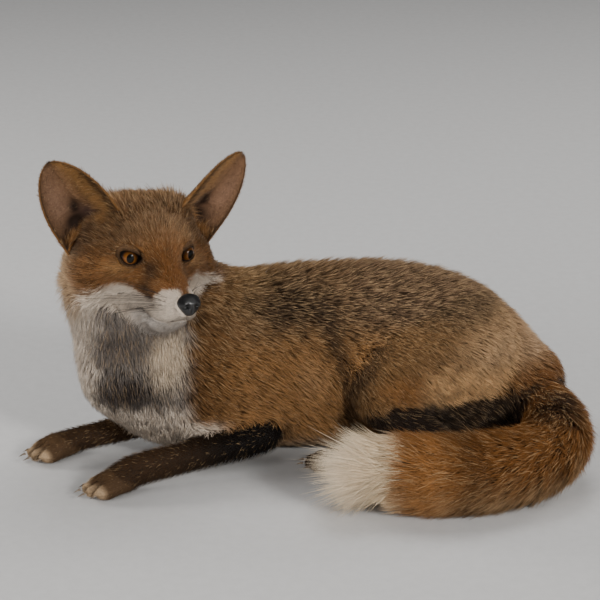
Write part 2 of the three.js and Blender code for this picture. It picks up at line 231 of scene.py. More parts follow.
def normals_of(verts, faces):
    a = verts[faces[:, 2]] - verts[faces[:, 0]]
    b = verts[faces[:, 3 % faces.shape[1]]] - verts[faces[:, 1]]
    n = np.cross(a, b)
    out = np.zeros_like(verts)
    for i in range(3):
        for k in range(faces.shape[1]):
            out[:, i] += np.bincount(faces[:, k], n[:, i], len(verts))
    return unit(out)


class Net:
    """Averages and walks along a mesh's edges."""

    def __init__(self, count, pairs):
        self.i = np.concatenate([pairs[:, 0], pairs[:, 1]])
        self.j = np.concatenate([pairs[:, 1], pairs[:, 0]])
        order = np.argsort(self.i, kind="stable")
        self.i, self.j = self.i[order], self.j[order]
        self.degree = np.bincount(self.i, minlength=count)
        self.start = np.concatenate([[0], np.cumsum(self.degree)[:-1]])
        self.count = count

    def average(self, values):
        if values.ndim == 1:
            return np.bincount(self.i, values[self.j], self.count) / np.maximum(self.degree, 1)
        return np.stack([self.average(values[:, k]) for k in range(values.shape[1])], 1)

    def smooth(self, values, times, share=0.5):
        for _ in range(times):
            values = values + (self.average(values) - values) * share
        return values

    def neighbours(self, width=7):
        table = np.repeat(np.arange(self.count)[:, None], width, 1)
        for k in range(width):
            has = self.degree > k
            table[has, k] = self.j[self.start[has] + k]
        return table


# ---- The skin: the flesh nodes made one, and drawn in by the depth of the coat --------------------
VOXEL = 2.1
FLESH = [
    "head", "neck", "trunk", "thigh_left", "thigh_right", "shank_left", "shank_right",
    "hind_foot_left", "hind_foot_right", "hind_paw_left", "hind_paw_right", "foreleg_left",
    "foreleg_right", "forepaw_left", "forepaw_right", "tail_base", "tail_middle", "tail_tip",
]
LABEL = {name: i for i, name in enumerate(FLESH)}
LABEL["ear_left"] = len(FLESH)
LABEL["ear_right"] = len(FLESH) + 1


def sphere(at, radius):
    points, faces = unit_sphere(16, 24)
    return points[:, [1, 2, 0]] * radius + at, faces


def remeshed(parts, voxel):
    """One closed skin round all the closed parts given, as verts and quads."""
    mesh = make_mesh("rough", *merged(parts))
    obj = bpy.data.objects.new("rough", mesh)
    bpy.context.scene.collection.objects.link(obj)
    mod = obj.modifiers.new("remesh", "REMESH")
    mod.mode = "VOXEL"
    mod.voxel_size = voxel / MM
    bpy.context.view_layer.update()
    done = bpy.data.meshes.new_from_object(obj.evaluated_get(bpy.context.evaluated_depsgraph_get()))
    v, f = read_mesh(done, 4)
    bpy.data.objects.remove(obj)
    bpy.data.meshes.remove(mesh)
    bpy.data.meshes.remove(done)
    return v, f


def swollen(v, t, by):
    return v + normals_of(v, t) * by, t


def refined(verts, quads, where):
    """Triangles, with the quads whose corners are all in `where` cut in four first."""
    mesh = make_mesh("fine", verts, quads)
    bm = bmesh.new()
    bm.from_mesh(mesh)
    bm.edges.ensure_lookup_table()
    inside = [e for e in bm.edges if where[e.verts[0].index] and where[e.verts[1].index]]
    bmesh.ops.subdivide_edges(bm, edges=inside, cuts=1, use_grid_fill=True)
    bmesh.ops.triangulate(bm, faces=bm.faces[:])
    bm.to_mesh(mesh)
    bm.free()
    v, f = read_mesh(mesh, 3)
    bpy.data.meshes.remove(mesh)
    return v, f


CLAWS = {
    f"{end}_{side}": [centre(f"claw_{end}_{side}_{k}") - ORIGIN for k in range(1, 5)]
    for end in ("fore", "hind") for side in ("left", "right")
}
parts = [swollen(*cad_mesh(name), 0.5) for name in FLESH]
parts += [sphere(EYES[s] + GAZE[s] * 2.0, 11.5) for s in (1, -1)]
parts.append(swollen(*cad_mesh("nose"), 0.5))
V, F = remeshed(parts, VOXEL)
H = to_head(V)
fine_skin = (H[:, 0] > -8) & (np.abs(H[:, 1]) < 52) & (H[:, 2] > -72) & (H[:, 2] < 32)
for claws in CLAWS.values():
    fine_skin |= np.min([np.linalg.norm(V - c, axis=1) for c in claws], 0) < 27
V, F = refined(V, F, fine_skin)

# each vertex belongs to the solid that it lies on
solids = [cad_mesh(name) for name in FLESH]
cad_tree = tree_of(*merged(solids))
owner = np.repeat(np.arange(len(FLESH)), [len(t) for _, t in solids])
label = owner[[cad_tree.find_nearest(p)[2] for p in V.tolist()]]
net = Net(len(V), edge_pairs(F))


def per_label(values, default):
    table = np.full(len(LABEL), float(default))
    for key, value in values.items():
        for name, i in LABEL.items():
            if name == key or name.startswith(key + "_"):
                table[i] = value
    return table


# the faceted solids are rounded off, least where the forms are small
rounding = per_label({"trunk": 1, "thigh": 0.9, "neck": 0.9, "head": 0.45, "shank": 0.4, "hind_foot": 0.25,
                      "hind_paw": 0.12, "forepaw": 0.12, "foreleg": 0.4, "tail": 0.9}, 0.5)[label]
H = to_head(V)
rounding = np.where(label == LABEL["head"], mix(0.95, 0.45, smooth_step(-30, 6, H[:, 0])), rounding)
rounding = net.smooth(rounding, 12)
for step in range(60):
    V += (net.average(V) - V) * np.where(rounding * 60 > step, 0.6, 0)[:, None]

# how deep the coat is
H = to_head(V)
COAT_DEPTHS = {
    "head": 11, "neck": 14, "trunk": 10.5, "thigh": 8.5, "shank": 6, "hind_foot": 4, "hind_paw": 2.2,
    "forepaw": 2.2, "foreleg": 3.5, "tail_base": 15, "tail_middle": 21, "tail_tip": 25,
}
depth = per_label(COAT_DEPTHS, 10)[label]
is_head = label == LABEL["head"]
muzzle = smooth_step(6, 34, H[:, 0])
rear = smooth_step(-14, -48, H[:, 0])
face = 6.0 - 3.2 * muzzle + 7.0 * rear + 7.0 * smooth_step(-16, -40, H[:, 2]) * smooth_step(24, 0, H[:, 0])
from_eye = np.min([np.linalg.norm(V - EYES[s], axis=1) for s in (1, -1)], 0)
face = mix(np.full(len(V), 1.8), face, smooth_step(9, 30, from_eye))
depth = np.where(is_head, face, depth)
ear_foot = np.min([np.linalg.norm((H - vec(-34, s * 38, 16)) / vec(16, 14, 18), axis=1) for s in (1, -1)], 0)
depth = np.where(is_head, depth * mix(0.25, 1.0, smooth_step(0.6, 1.5, ear_foot)), depth)
belly = smooth_step(40, 4, V[:, 2])
on_trunk = np.isin(label, [LABEL["trunk"], LABEL["neck"]])
depth = np.where(on_trunk, depth * (1 - 0.5 * belly), depth)
on_tail = np.isin(label, [LABEL["tail_base"], LABEL["tail_middle"], LABEL["tail_tip"]])
depth = np.where(on_tail, depth * (1 - 0.45 * smooth_step(14, 2, V[:, 2])), depth)
elbow = smooth_step(-110, -60, V[:, 0])
depth = np.where(np.char.startswith(np.array(FLESH)[label], "foreleg"), depth + 3 * elbow, depth)
depth = np.maximum(net.smooth(depth, 25), 0)

STEPS = 12
calm = per_label({"trunk": 0.5, "neck": 0.5, "thigh": 0.5, "head": 0.2, "tail": 0.5, "shank": 0.3,
                  "foreleg": 0.25}, 0.1)[label]
calm = net.smooth(calm, 8)[:, None]
for step in range(STEPS):
    n = net.smooth(normals_of(V, F), 2)
    V = V - unit(n) * (depth / STEPS)[:, None]
    V = net.smooth(V, 1, calm)
V = net.smooth(V, 1, 0.4)
broad = per_label({"trunk": 1, "neck": 1, "thigh": 1, "tail": 1, "shank": 0.3}, 0)[label]
broad = np.where(is_head, smooth_step(-4, -26, H[:, 0]), broad)
broad = net.smooth(broad, 10)[:, None]
for step in range(14):
    V = V + (net.average(V) - V) * 0.6 * broad

# the brush's flesh ends well before its hair
BRUSH = vec([226, -20, 74], [249, -64, 56], [245, -116, 44], [200, -150, 38], [140, -166, 38], [85, -168, 42],
            [52, -171, 34], [30, -173, 27])


def smooth_line(points, per=12):
    """A curve through the points."""
    out = []
    p = np.concatenate([[2 * points[0] - points[1]], points, [2 * points[-1] - points[-2]]])
    for i in range(1, len(p) - 2):
        a, b, c, d = p[i - 1 : i + 3]
        curve, twist = 2 * a - 5 * b + 4 * c - d, 3 * b - a - 3 * c + d
        out += [0.5 * (2 * b + (c - a) * t + curve * t**2 + twist * t**3) for t in np.arange(per) / per]
    return np.array(out + [p[-2]])


LINE = smooth_line(BRUSH)
LINE_WAY = unit(np.gradient(LINE, axis=0))
run = np.concatenate([[0], np.cumsum(np.linalg.norm(np.diff(LINE, axis=0), axis=1))])
BRUSH_FROM, BRUSH_SHARE = 0.76, 0.4


def on_line(at):
    at = np.asarray(at)
    inside = np.stack([np.interp(at, run, LINE[:, k]) for k in range(3)], -1)
    return inside + LINE_WAY[-1] * np.maximum(at - run[-1], 0)[..., None]


tail = np.flatnonzero(on_tail)
nearest = np.argmin(((V[tail][:, None] - LINE[None]) ** 2).sum(-1), 1)
past_end = np.maximum((V[tail] - LINE[-1]) @ LINE_WAY[-1], 0)
tail_run = run[nearest] + np.where(nearest == len(LINE) - 1, past_end, 0)
draw_from = run[-1] * BRUSH_FROM
drawn = np.minimum(tail_run, draw_from + np.maximum(tail_run - draw_from, 0) * BRUSH_SHARE)
V[tail] += on_line(drawn) - on_line(tail_run)
crumpled = np.zeros(len(V))
crumpled[tail] = smooth_step(run[-1] * (BRUSH_FROM - 0.08), draw_from, tail_run)
for step in range(45):
    V = V + (net.average(V) - V) * 0.7 * crumpled[:, None]
# the crease between the left cheek and the shoulder folds over itself when the skin is drawn in
CHEEK_CREASE = vec(-3, 45, -44)
creased = smooth_step(26, 13, np.linalg.norm(to_head(V) - CHEEK_CREASE, axis=1))
for step in range(80):
    V = V + (net.average(V) - V) * 0.7 * creased[:, None]

# ---- The face: sockets, mouth, whisker pads --------------------------------------------------------
MOUTH_X = [-12, -5, 4, 11, 21, 34, 50, 62, 72]
MOUTH_Z = [-50, -50.5, -50, -50.5, -54.5, -54.5, -51.5, -46, -40.5]


def mouth_height(x):
    return np.interp(x, MOUTH_X, MOUTH_Z)


def eye_place(p, s):
    """Ahead along the gaze, across towards the nose, and up, from an eye's middle."""
    d = p - EYES[s]
    across = -s * np.cross(HEAD_Z, GAZE[s])
    return d @ GAZE[s], d @ across, d @ HEAD_Z


for s in (1, -1):
    ahead, across, up = eye_place(V, s)
    r = np.hypot(across, up)
    front = (ahead > -8) & (r < 20)
    ball = np.sqrt(np.maximum(EYE_RADIUS**2 - r**2, 0))
    sunk = np.minimum(ahead, ball - 3.0)
    V = V + GAZE[s] * (np.where(front, (sunk - ahead) * smooth_step(12.5, 8.5, r), 0))[:, None]

N = normals_of(V, F)
H = to_head(V)
x, y, z = H.T
face_part = (from_eye < 150) & (x > -14) & (x < 84) & (np.abs(y) < 46)
line = z - mouth_height(x)
along_mouth = face_part * smooth_step(-12, -2, x)
sculpt = -1.5 * bell(line, 0, 1.3) * along_mouth
sculpt += 1.1 * bell(line, 4.2, 3.2) * along_mouth * smooth_step(6, 30, x)
sculpt -= 0.8 * bell(line, -3.5, 2.4) * along_mouth
sculpt += 1.6 * blot(x, z, 46, -36, 15, 8) * face_part * smooth_step(5, 9, np.abs(y))
sculpt -= 0.9 * bell(y, 0, 1.2) * smooth_step(66, 72, x) * face_part * (z < -33)
for s in (1, -1):
    ahead, across, up = eye_place(V, s)
    sculpt += 1.6 * blot(across, up, 2, 12, 12, 4.5) * face_part
    sculpt -= 1.4 * blot(across, up, 13, -5, 5, 7) * face_part
    sculpt -= 2.6 * blot(across, up, 14, 1, 6, 9) * face_part
V = V + N * sculpt[:, None]


def furrowed(at):
    """Depth of the furrows between the toes, midway between the claws, dying out over the paw's back."""
    depth = np.zeros(len(at))
    for claws in CLAWS.values():
        claws = np.array(claws)
        middle = claws.mean(0)
        ahead_way = unit((claws[1:3].mean(0) - claws[[0, 3]].mean(0)) * vec(1, 1, 0))
        across_way = np.cross(vec(0, 0, 1), ahead_way)
        order = claws[np.argsort(claws @ across_way)]
        ahead = (at - order[1:3].mean(0)) @ ahead_way
        across = (at - middle) @ across_way
        on_paw = (np.abs(across) < 24) & (ahead > -36) & (ahead < 14) & (at[:, 2] < 32)
        for k in range(3):
            gap = ((order[k] + order[k + 1]) / 2 - middle) @ across_way
            fan = gap * (1 + 0.012 * ahead)
            depth = np.maximum(depth, bell(across - fan, 0, 2.0) * smooth_step(-30, -10, ahead) * on_paw)
    return depth


V = V - N * (4.0 * furrowed(V))[:, None]

# ---- Ears ------------------------------------------------------------------------------------------
EAR_LENGTH, EAR_WIDTH, EAR_CUP, EAR_SKIN = 88, 68, 20, 2.2
EAR_WIDEST, EAR_CONVEXITY, EAR_ROUNDNESS = 0.12, 2.4, 0.6
EAR_LEAN, EAR_WRAP = 10, math.radians(80)
EAR_SPLAY, EAR_OPENS = math.radians(36), math.radians(25)
EAR_ROOT = (-40, 51, 13)
EAR_START, EAR_END = -0.24, 0.985
EAR_ACROSS, EAR_ALONG = 48, 56


def ear_axes(s):
    out = vec(0, s, 0)
    opens = vec(math.cos(EAR_OPENS), 0, 0) + out * math.sin(EAR_OPENS)
    up = vec(0, 0, math.cos(EAR_SPLAY)) + out * math.sin(EAR_SPLAY)
    across = unit(np.cross(up, opens))
    return np.stack([across, up, np.cross(across, up)])


def ear_point(s, u, along, inner):
    """u from -1 to 1 across the cup, inner: depth under the outer skin."""
    turn = u * EAR_WRAP
    taper = np.maximum(along - EAR_WIDEST, 0) / (1 - EAR_WIDEST)
    half = EAR_WIDTH / 2 * (1 - taper**EAR_CONVEXITY) ** EAR_ROUNDNESS
    cup = 3 + EAR_CUP * (1 - along)
    lateral = u * s
    well = 8.0 * blot(lateral, along, 0.24, 0.15, 0.32, 0.11)
    well = well + 3.5 * blot(lateral, along, 0.05, 0.32, 0.3, 0.12)
    fold = 2.4 * bell(lateral + 0.32 - 0.5 * along, 0, 0.1) * bell(along, 0.42, 0.2)
    fold += 2.0 * bell(along, 0.3 + 0.12 * lateral, 0.035) * bell(lateral, 0.25, 0.35)
    wave = 0.7 * np.sin(9 * along + 3 * lateral) * (1 - along)
    back = (cup - inner) * np.cos(turn)
    p = np.stack([
        (half - inner) * np.sin(turn) / math.sin(EAR_WRAP),
        EAR_LENGTH * along,
        EAR_CUP / 2 - back - EAR_LEAN * along * np.abs(along) - well
        + (fold * (inner > 0.5) + wave) * np.cos(turn),
    ], -1)
    return from_head(p @ ear_axes(s) + vec(EAR_ROOT[0], s * EAR_ROOT[1], EAR_ROOT[2]))


def ear_skin(s):
    u, a = np.meshgrid(np.linspace(-1, 1, EAR_ACROSS + 1), np.linspace(EAR_START, EAR_END, EAR_ALONG + 1))
    n = u.size
    sides = [ear_point(s, u, a, np.full(u.shape, d)).reshape(-1, 3) for d in (0.5, 0.5 + EAR_SKIN)]
    k = np.arange(n).reshape(u.shape)
    quads = np.stack([k[:-1, :-1], k[:-1, 1:], k[1:, 1:], k[1:, :-1]], -1).reshape(-1, 4)
    ring = np.concatenate([k[0, :-1], k[:-1, -1], k[-1, :0:-1], k[:0:-1, 0]])
    after = np.roll(ring, -1)
    rim = np.stack([ring, after, after + n, ring + n], -1)
    quads = np.concatenate([quads[:, ::-1], quads + n, rim])
    flat = np.concatenate([np.stack([u.ravel() * s, a.ravel(), np.full(n, k)], 1) for k in (0.0, 1.0)])
    return np.concatenate(sides), halved(quads), flat


# ---- Lids ------------------------------------------------------------------------------------------
LID_AROUND = 64
LID_RINGS = [  # size of the opening's outline, height over the eyeball, share of the skin's height, sink in it
    (1.00, -0.4, 0, 0), (1.00, 0.5, 0, 0), (1.04, 0.9, 0, 0), (1.09, 1.0, 0, 0),
    (1.17, 0.9, 0.2, 0), (1.28, 0.5, 0.6, 0), (1.42, 0, 1, 0.2), (1.55, 0, 1, 1.8),
]


def lid(s, skin):
    t = np.arange(LID_AROUND) * 2 * math.pi / LID_AROUND
    c, d = np.cos(t), np.sin(t)
    across = np.where(c > 0, 11.6, 9.2) * c - 0.2
    up = np.where(d > 0, 6.6, 6.2) * np.sign(d) * np.abs(d) ** 1.15 - 0.2 * across
    inwards = -s * np.cross(HEAD_Z, GAZE[s])
    rings = []
    for size, over, share, sink in LID_RINGS:
        spread = 1 + (size - 1) * (1 + 0.25 * (np.abs(d)))
        h, v = across * spread, up * spread
        if share > 0.5:
            r = np.hypot(h, v)
            grow = np.maximum(1, (8.2 * size) / r)
            h, v = h * grow, v * grow
        ahead = np.sqrt(np.maximum((EYE_RADIUS + over) ** 2 - h**2 - v**2, 2.6**2))
        if share:
            on_skin = []
            for hh, vv in zip(h, v):
                start = EYES[s] + GAZE[s] * 40 + inwards * hh + HEAD_Z * vv
                hit = skin.ray_cast(start.tolist(), (-GAZE[s]).tolist())
                on_skin.append(40 - hit[3] if hit[0] is not None else 0)
            ahead = ahead + (np.array(on_skin) - sink - ahead) * share
        rings.append(EYES[s] + GAZE[s] * ahead[:, None] + inwards * h[:, None] + HEAD_Z * v[:, None])
    verts = np.concatenate(rings)
    k = np.arange(len(LID_RINGS) * LID_AROUND).reshape(len(LID_RINGS), LID_AROUND)
    quads = band(k)[:, ::-1] if s > 0 else band(k)
    return verts, halved(quads), np.repeat(np.arange(len(LID_RINGS)), LID_AROUND)


body_tree = tree_of(V, F)
NO_EAR, NO_LID, THIN = [-1.0, -1.0, -1.0], -1, 1.2
added = []
for s, name in ((1, "ear_left"), (-1, "ear_right")):
    v, f, flat = ear_skin(s)
    added.append((v, f, flat, np.full(len(v), NO_LID), name))
for s in (1, -1):
    v, f, ring = lid(s, body_tree)
    added.append((v, f, np.tile(NO_EAR, (len(v), 1)), ring, "head"))
ear_flat, lid_ring = np.tile(NO_EAR, (len(V), 1)), np.full(len(V), NO_LID)
V, F = merged([(V, F)] + [(v, f) for v, f, *_ in added])
for v, _, flat, ring, name in added:
    ear_flat = np.concatenate([ear_flat, flat])
    lid_ring = np.concatenate([lid_ring, ring])
    label = np.concatenate([label, np.full(len(v), LABEL[name])])
    depth = np.concatenate([depth, np.full(len(v), THIN)])
V[:, 2] = np.maximum(V[:, 2], 0.6)
N = normals_of(V, F)
net = Net(len(V), edge_pairs(F))

# ---- Where each part of the body is ----------------------------------------------------------------
H = to_head(V)
x, y, z = V.T
hx, hy, hz = H.T
side = np.abs(hy)


def is_part(*names):
    return np.isin(label, [i for n, i in LABEL.items() if any(n == k or n.startswith(k + "_") for k in names)])


HEAD, NECK, TRUNK, THIGH, SHANK = (is_part(k) for k in ("head", "neck", "trunk", "thigh", "shank"))
HFOOT, HPAW, FLEG, FPAW = (is_part(k) for k in ("hind_foot", "hind_paw", "foreleg", "forepaw"))
TAIL, EAR = is_part("tail"), is_part("ear")
ear_in = EAR & (ear_flat[:, 2] > 0.5)
ear_along, ear_lat = ear_flat[:, 1], ear_flat[:, 0]

nearest = np.zeros(len(V), int)
nearest[TAIL] = np.argmin(((V[TAIL][:, None] - LINE[None]) ** 2).sum(-1), 1)
tail_share = np.where(TAIL, run[nearest] / run[-1], 0)

# ---- The lie of the coat ---------------------------------------------------------------------------
flow = np.zeros_like(V)
towards = H - vec(95, 0, -18)
towards[:, 2] -= 34 * smooth_step(20, 44, side) * smooth_step(-4, -24, hz)
towards[:, 2] -= 20 * smooth_step(-40, -56, hz)
flow[HEAD] = (unit(towards) @ HEAD_AXES)[HEAD]
BIB_AT, BIB_WAY = vec(-112, -18), math.atan2(-0.62, -0.78)


def bib_at(x, y):
    """The white bib is a wedge of the chest, seen from above."""
    angle = np.arctan2(y - BIB_AT[1], x - BIB_AT[0]) - BIB_WAY
    angle = np.degrees((angle + math.pi) % (2 * math.pi) - math.pi)
    return smooth_step(66, 44, np.abs(angle)) * (NECK | TRUNK)


bib = bib_at(x, y)
flow[NECK] = unit(mix(vec(0.9, 0, -0.7), vec(0.1, 0, -1), bib)[NECK])
chest = smooth_step(-95, -130, x)
rump_drop = smooth_step(165, 225, x)
trunk_way = mix(vec(1, 0, -0.5), vec(1, 0, -0.1), smooth_step(120, 185, z))
trunk_way = mix(trunk_way, vec(0.2, 0, -1), np.maximum(chest * 0.8, bib))
trunk_way = mix(trunk_way, vec(0.75, 0, -0.75), rump_drop)
trunk_way = mix(trunk_way, vec(1, 0, 0), smooth_step(30, 10, z))
flow[TRUNK] = unit(trunk_way[TRUNK])
flow[THIGH] = unit(vec(0.8, 0, -0.62))
LIMB_WAYS = {
    "shank_left": (76, -20, -38), "shank_right": (74, 20, -34), "hind_foot_left": (-114, 18, -8),
    "hind_foot_right": (-124, -7, -8), "foreleg_left": (-134, -64, -15), "foreleg_right": (-160, -92, -15),
}
PAW_HEADINGS = {"forepaw_left": 206, "forepaw_right": 209, "hind_paw_left": 172, "hind_paw_right": 184}
for name, heading in PAW_HEADINGS.items():
    LIMB_WAYS[name] = (math.cos(math.radians(heading)), math.sin(math.radians(heading)), -0.25)
for name, way in LIMB_WAYS.items():
    flow[label == LABEL[name]] = unit(vec(*way))
flow[TAIL] = LINE_WAY[nearest[TAIL]]
for s, name in ((1, "ear_left"), (-1, "ear_right")):
    own = label == LABEL[name]
    u, a, inner = ear_flat[own].T
    axes = ear_axes(s) @ HEAD_AXES
    way = axes[1] + np.outer(0.5 * u, axes[0] * s)
    inside = axes[1] * 0.7 + np.outer(np.where(u < 0, 0.9, -0.5), axes[0] * s)
    flow[own] = unit(np.where((inner > 0.5)[:, None], inside, way))
for s in (1, -1):  # round the eyes the hair leads outwards from the lids
    ahead, across, up = eye_place(V, s)
    r = np.hypot(across, up)
    out = np.outer(across, -s * np.cross(HEAD_Z, GAZE[s])) + np.outer(up, HEAD_Z)
    near = smooth_step(19, 12, r) * HEAD * (ahead > -10)
    flow = mix(flow, unit(out + flow * 4), near * 0.7)
raw_flow = net.smooth(flow, 14)
raw_flow = unit(np.where(EAR[:, None], flow, raw_flow))
FLOW = unit(raw_flow - N * (raw_flow * N).sum(1, keepdims=True))

# ---- How long, wide and deep the tufts are --------------------------------------------------------
LENGTH = np.zeros(len(V))
cheek = smooth_step(30, 50, side) * smooth_step(-5, -30, hz) * smooth_step(10, -20, hx)
head_length = 4.2 + 5 * smooth_step(40, 6, hx) + 4 * smooth_step(4, -20, hx) + 8 * smooth_step(-20, -52, hx)
LENGTH[HEAD] = (head_length + 7 * cheek)[HEAD]
brush_end = smooth_step(0.76, 0.83, tail_share)
for part, length in (
    (NECK, 19), (TRUNK, 13.5 + 1.5 * smooth_step(100, 170, z)), (THIGH, 12), (SHANK, 10), (HFOOT, 6),
    (FLEG, 6.5), (HPAW | FPAW, 3.2), (TAIL, 28 + 34 * brush_end), (EAR, 4.5),
):
    LENGTH = np.where(part, length, LENGTH)
LENGTH = net.smooth(LENGTH, 10)
HEIGHT = net.smooth(np.maximum(depth - 0.3, 0.6), 6)
ear_faces = F[EAR[F[:, 0]] & (ear_along[F].max(1) < 0.42) & (ear_along[F].min(1) > -0.1)]
ear_tree = tree_of(V, ear_faces)
by_ear = np.zeros(len(V))
top_of_head = HEAD & (hz > 0) & (hx < 10)
by_ear[top_of_head] = [bell(ear_tree.find_nearest(p)[3], 0, 11) for p in V[top_of_head].tolist()]
HEIGHT += 12 * by_ear + 3 * HEAD * smooth_step(10, 34, hz) * smooth_step(6, -20, hx)
LENGTH += 10 * by_ear
HEIGHT = np.where(EAR, 1.4, HEIGHT)
HEIGHT = HEIGHT * (1 - 0.6 * furrowed(V))
brow = smooth_step(24, 4, hx) * smooth_step(-4, 12, hz)
jowl = smooth_step(28, 52, side) * smooth_step(14, -16, hx)
LENGTH[HEAD] += (2.5 * jowl)[HEAD]
above = smooth_step(118, 168, z)
end_way = LINE_WAY[np.argmin(np.abs(run / run[-1] - 0.86))]
in_brush = TAIL & (tail_share > 0.7)
at_end = smooth_step(20, 6, (V[in_brush] @ end_way).max() - V @ end_way) * in_brush
ear_front = (smooth_step(-0.1, -0.7, ear_lat) + smooth_step(0.14, 0.02, ear_along)) * ear_in
FREE, LIFT = np.zeros(len(V)), np.full(len(V), 0.4)  # how freely a tuft stands, and how steeply
for part, free, lift in (
    (HEAD, 0.12 + 0.3 * brow + 0.25 * jowl + 0.3 * by_ear, 0.35 + 0.35 * brow + 0.1 * jowl + 0.5 * by_ear),
    (NECK, 0.3, 0.45),
    (TRUNK, 0.3 + 0.25 * above, 0.5 + 0.35 * above),
    (THIGH, 0.35, 0.6), (SHANK, 0.3, 0.4), (FLEG, 0.1, 0.4),
    (TAIL, 0.45 + 0.45 * brush_end, 0.8 + 0.25 * brush_end - 0.85 * at_end),
    (EAR, 0.1 + 0.5 * ear_front, 0.3 + 0.4 * ear_front),
):
    FREE, LIFT = np.where(part, free, FREE), np.where(part, lift, LIFT)
LENGTH[EAR] = (3.4 + 8.5 * ear_front * smooth_step(0.85, 0.4, ear_along))[EAR]
FREE, LIFT = net.smooth(FREE, 8), net.smooth(LIFT, 8)
FREE = FREE.clip(0, 1)
WIDTH = np.clip(0.38 + LENGTH * 0.021, 0.42, 0.86)

DENSITY = np.ones(len(V))
DENSITY *= np.where(z < 2.5, 0.25, 1) * (1 + 3.0 * at_end)
eye_gap = np.full(len(V), 99.0)
for s in (1, -1):
    ahead, across, up = eye_place(V, s)
    eye_gap = np.where(ahead > -7, np.minimum(eye_gap, np.hypot(across * 0.93, up * 1.15)), eye_gap)
DENSITY *= smooth_step(9.0, 10.2, eye_gap)
DENSITY[lid_ring >= 3] = 1.6
DENSITY[(lid_ring >= 0) & (lid_ring < 3)] = 0
LENGTH[lid_ring >= 3] = 3.4
HEIGHT[lid_ring >= 3] = 1.0
jaw = HEAD * bell(hx, 22, 26) * smooth_step(-1, -5, hz - mouth_height(hx))
HEIGHT += 2.5 * jaw
LENGTH += 3 * jaw
NOSE = nose_c - ORIGIN
from_nose = np.linalg.norm((H - to_head(NOSE)) / vec(9, 11.5, 9), axis=1)
DENSITY *= smooth_step(1.02, 1.16, from_nose)
lip_gap = np.abs(hz - mouth_height(hx))
DENSITY = np.where(HEAD & (hx > 8) & (side < 30), DENSITY * smooth_step(0.8, 2.2, lip_gap), DENSITY)
DENSITY = np.where(EAR, np.where(ear_in, 0.8 + 1.2 * ear_front, 0.9) * (ear_along > -0.05), DENSITY)
DENSITY = np.where(ear_in & (np.abs(ear_lat - 0.26) < 0.3) & (np.abs(ear_along - 0.16) < 0.12), 0, DENSITY)

# ---- Markings and painted shade and light: colours as the coat shows them, in sRGB ----------------
LIGHT_GAIN = 1.35


def tone(*rgb):
    c = np.array(rgb) / 255
    return np.where(c < 0.04045, c / 12.92, ((c + 0.055) / 1.055) ** 2.4) * LIGHT_GAIN


def limited(c, most=0.84):
    """The same hue, no brighter than a real hair can be."""
    return np.maximum(c / np.maximum(c.max(-1, keepdims=True) / most, 1), 0.002)


CREAM = tone(196, 164, 122)
LEVEL = 1.5


def layered(base, *layers):
    """Paints (colour, share) over a base colour, one after the other; a tuple is a tone in sRGB."""
    c = tone(*base) if isinstance(base, tuple) else base
    for colour, share in layers:
        c = mix(c, tone(*colour) if isinstance(colour, tuple) else colour, share)
    return c


def waves(p, size, seed, count=7):
    r = np.random.default_rng(seed)
    k = unit(r.normal(size=(count, 3))) * r.uniform(0.7, 1.6, (count, 1)) * 2 * math.pi / size
    return np.sin(p @ k.T + r.uniform(0, 6.28, count)).sum(1) / math.sqrt(count / 2)


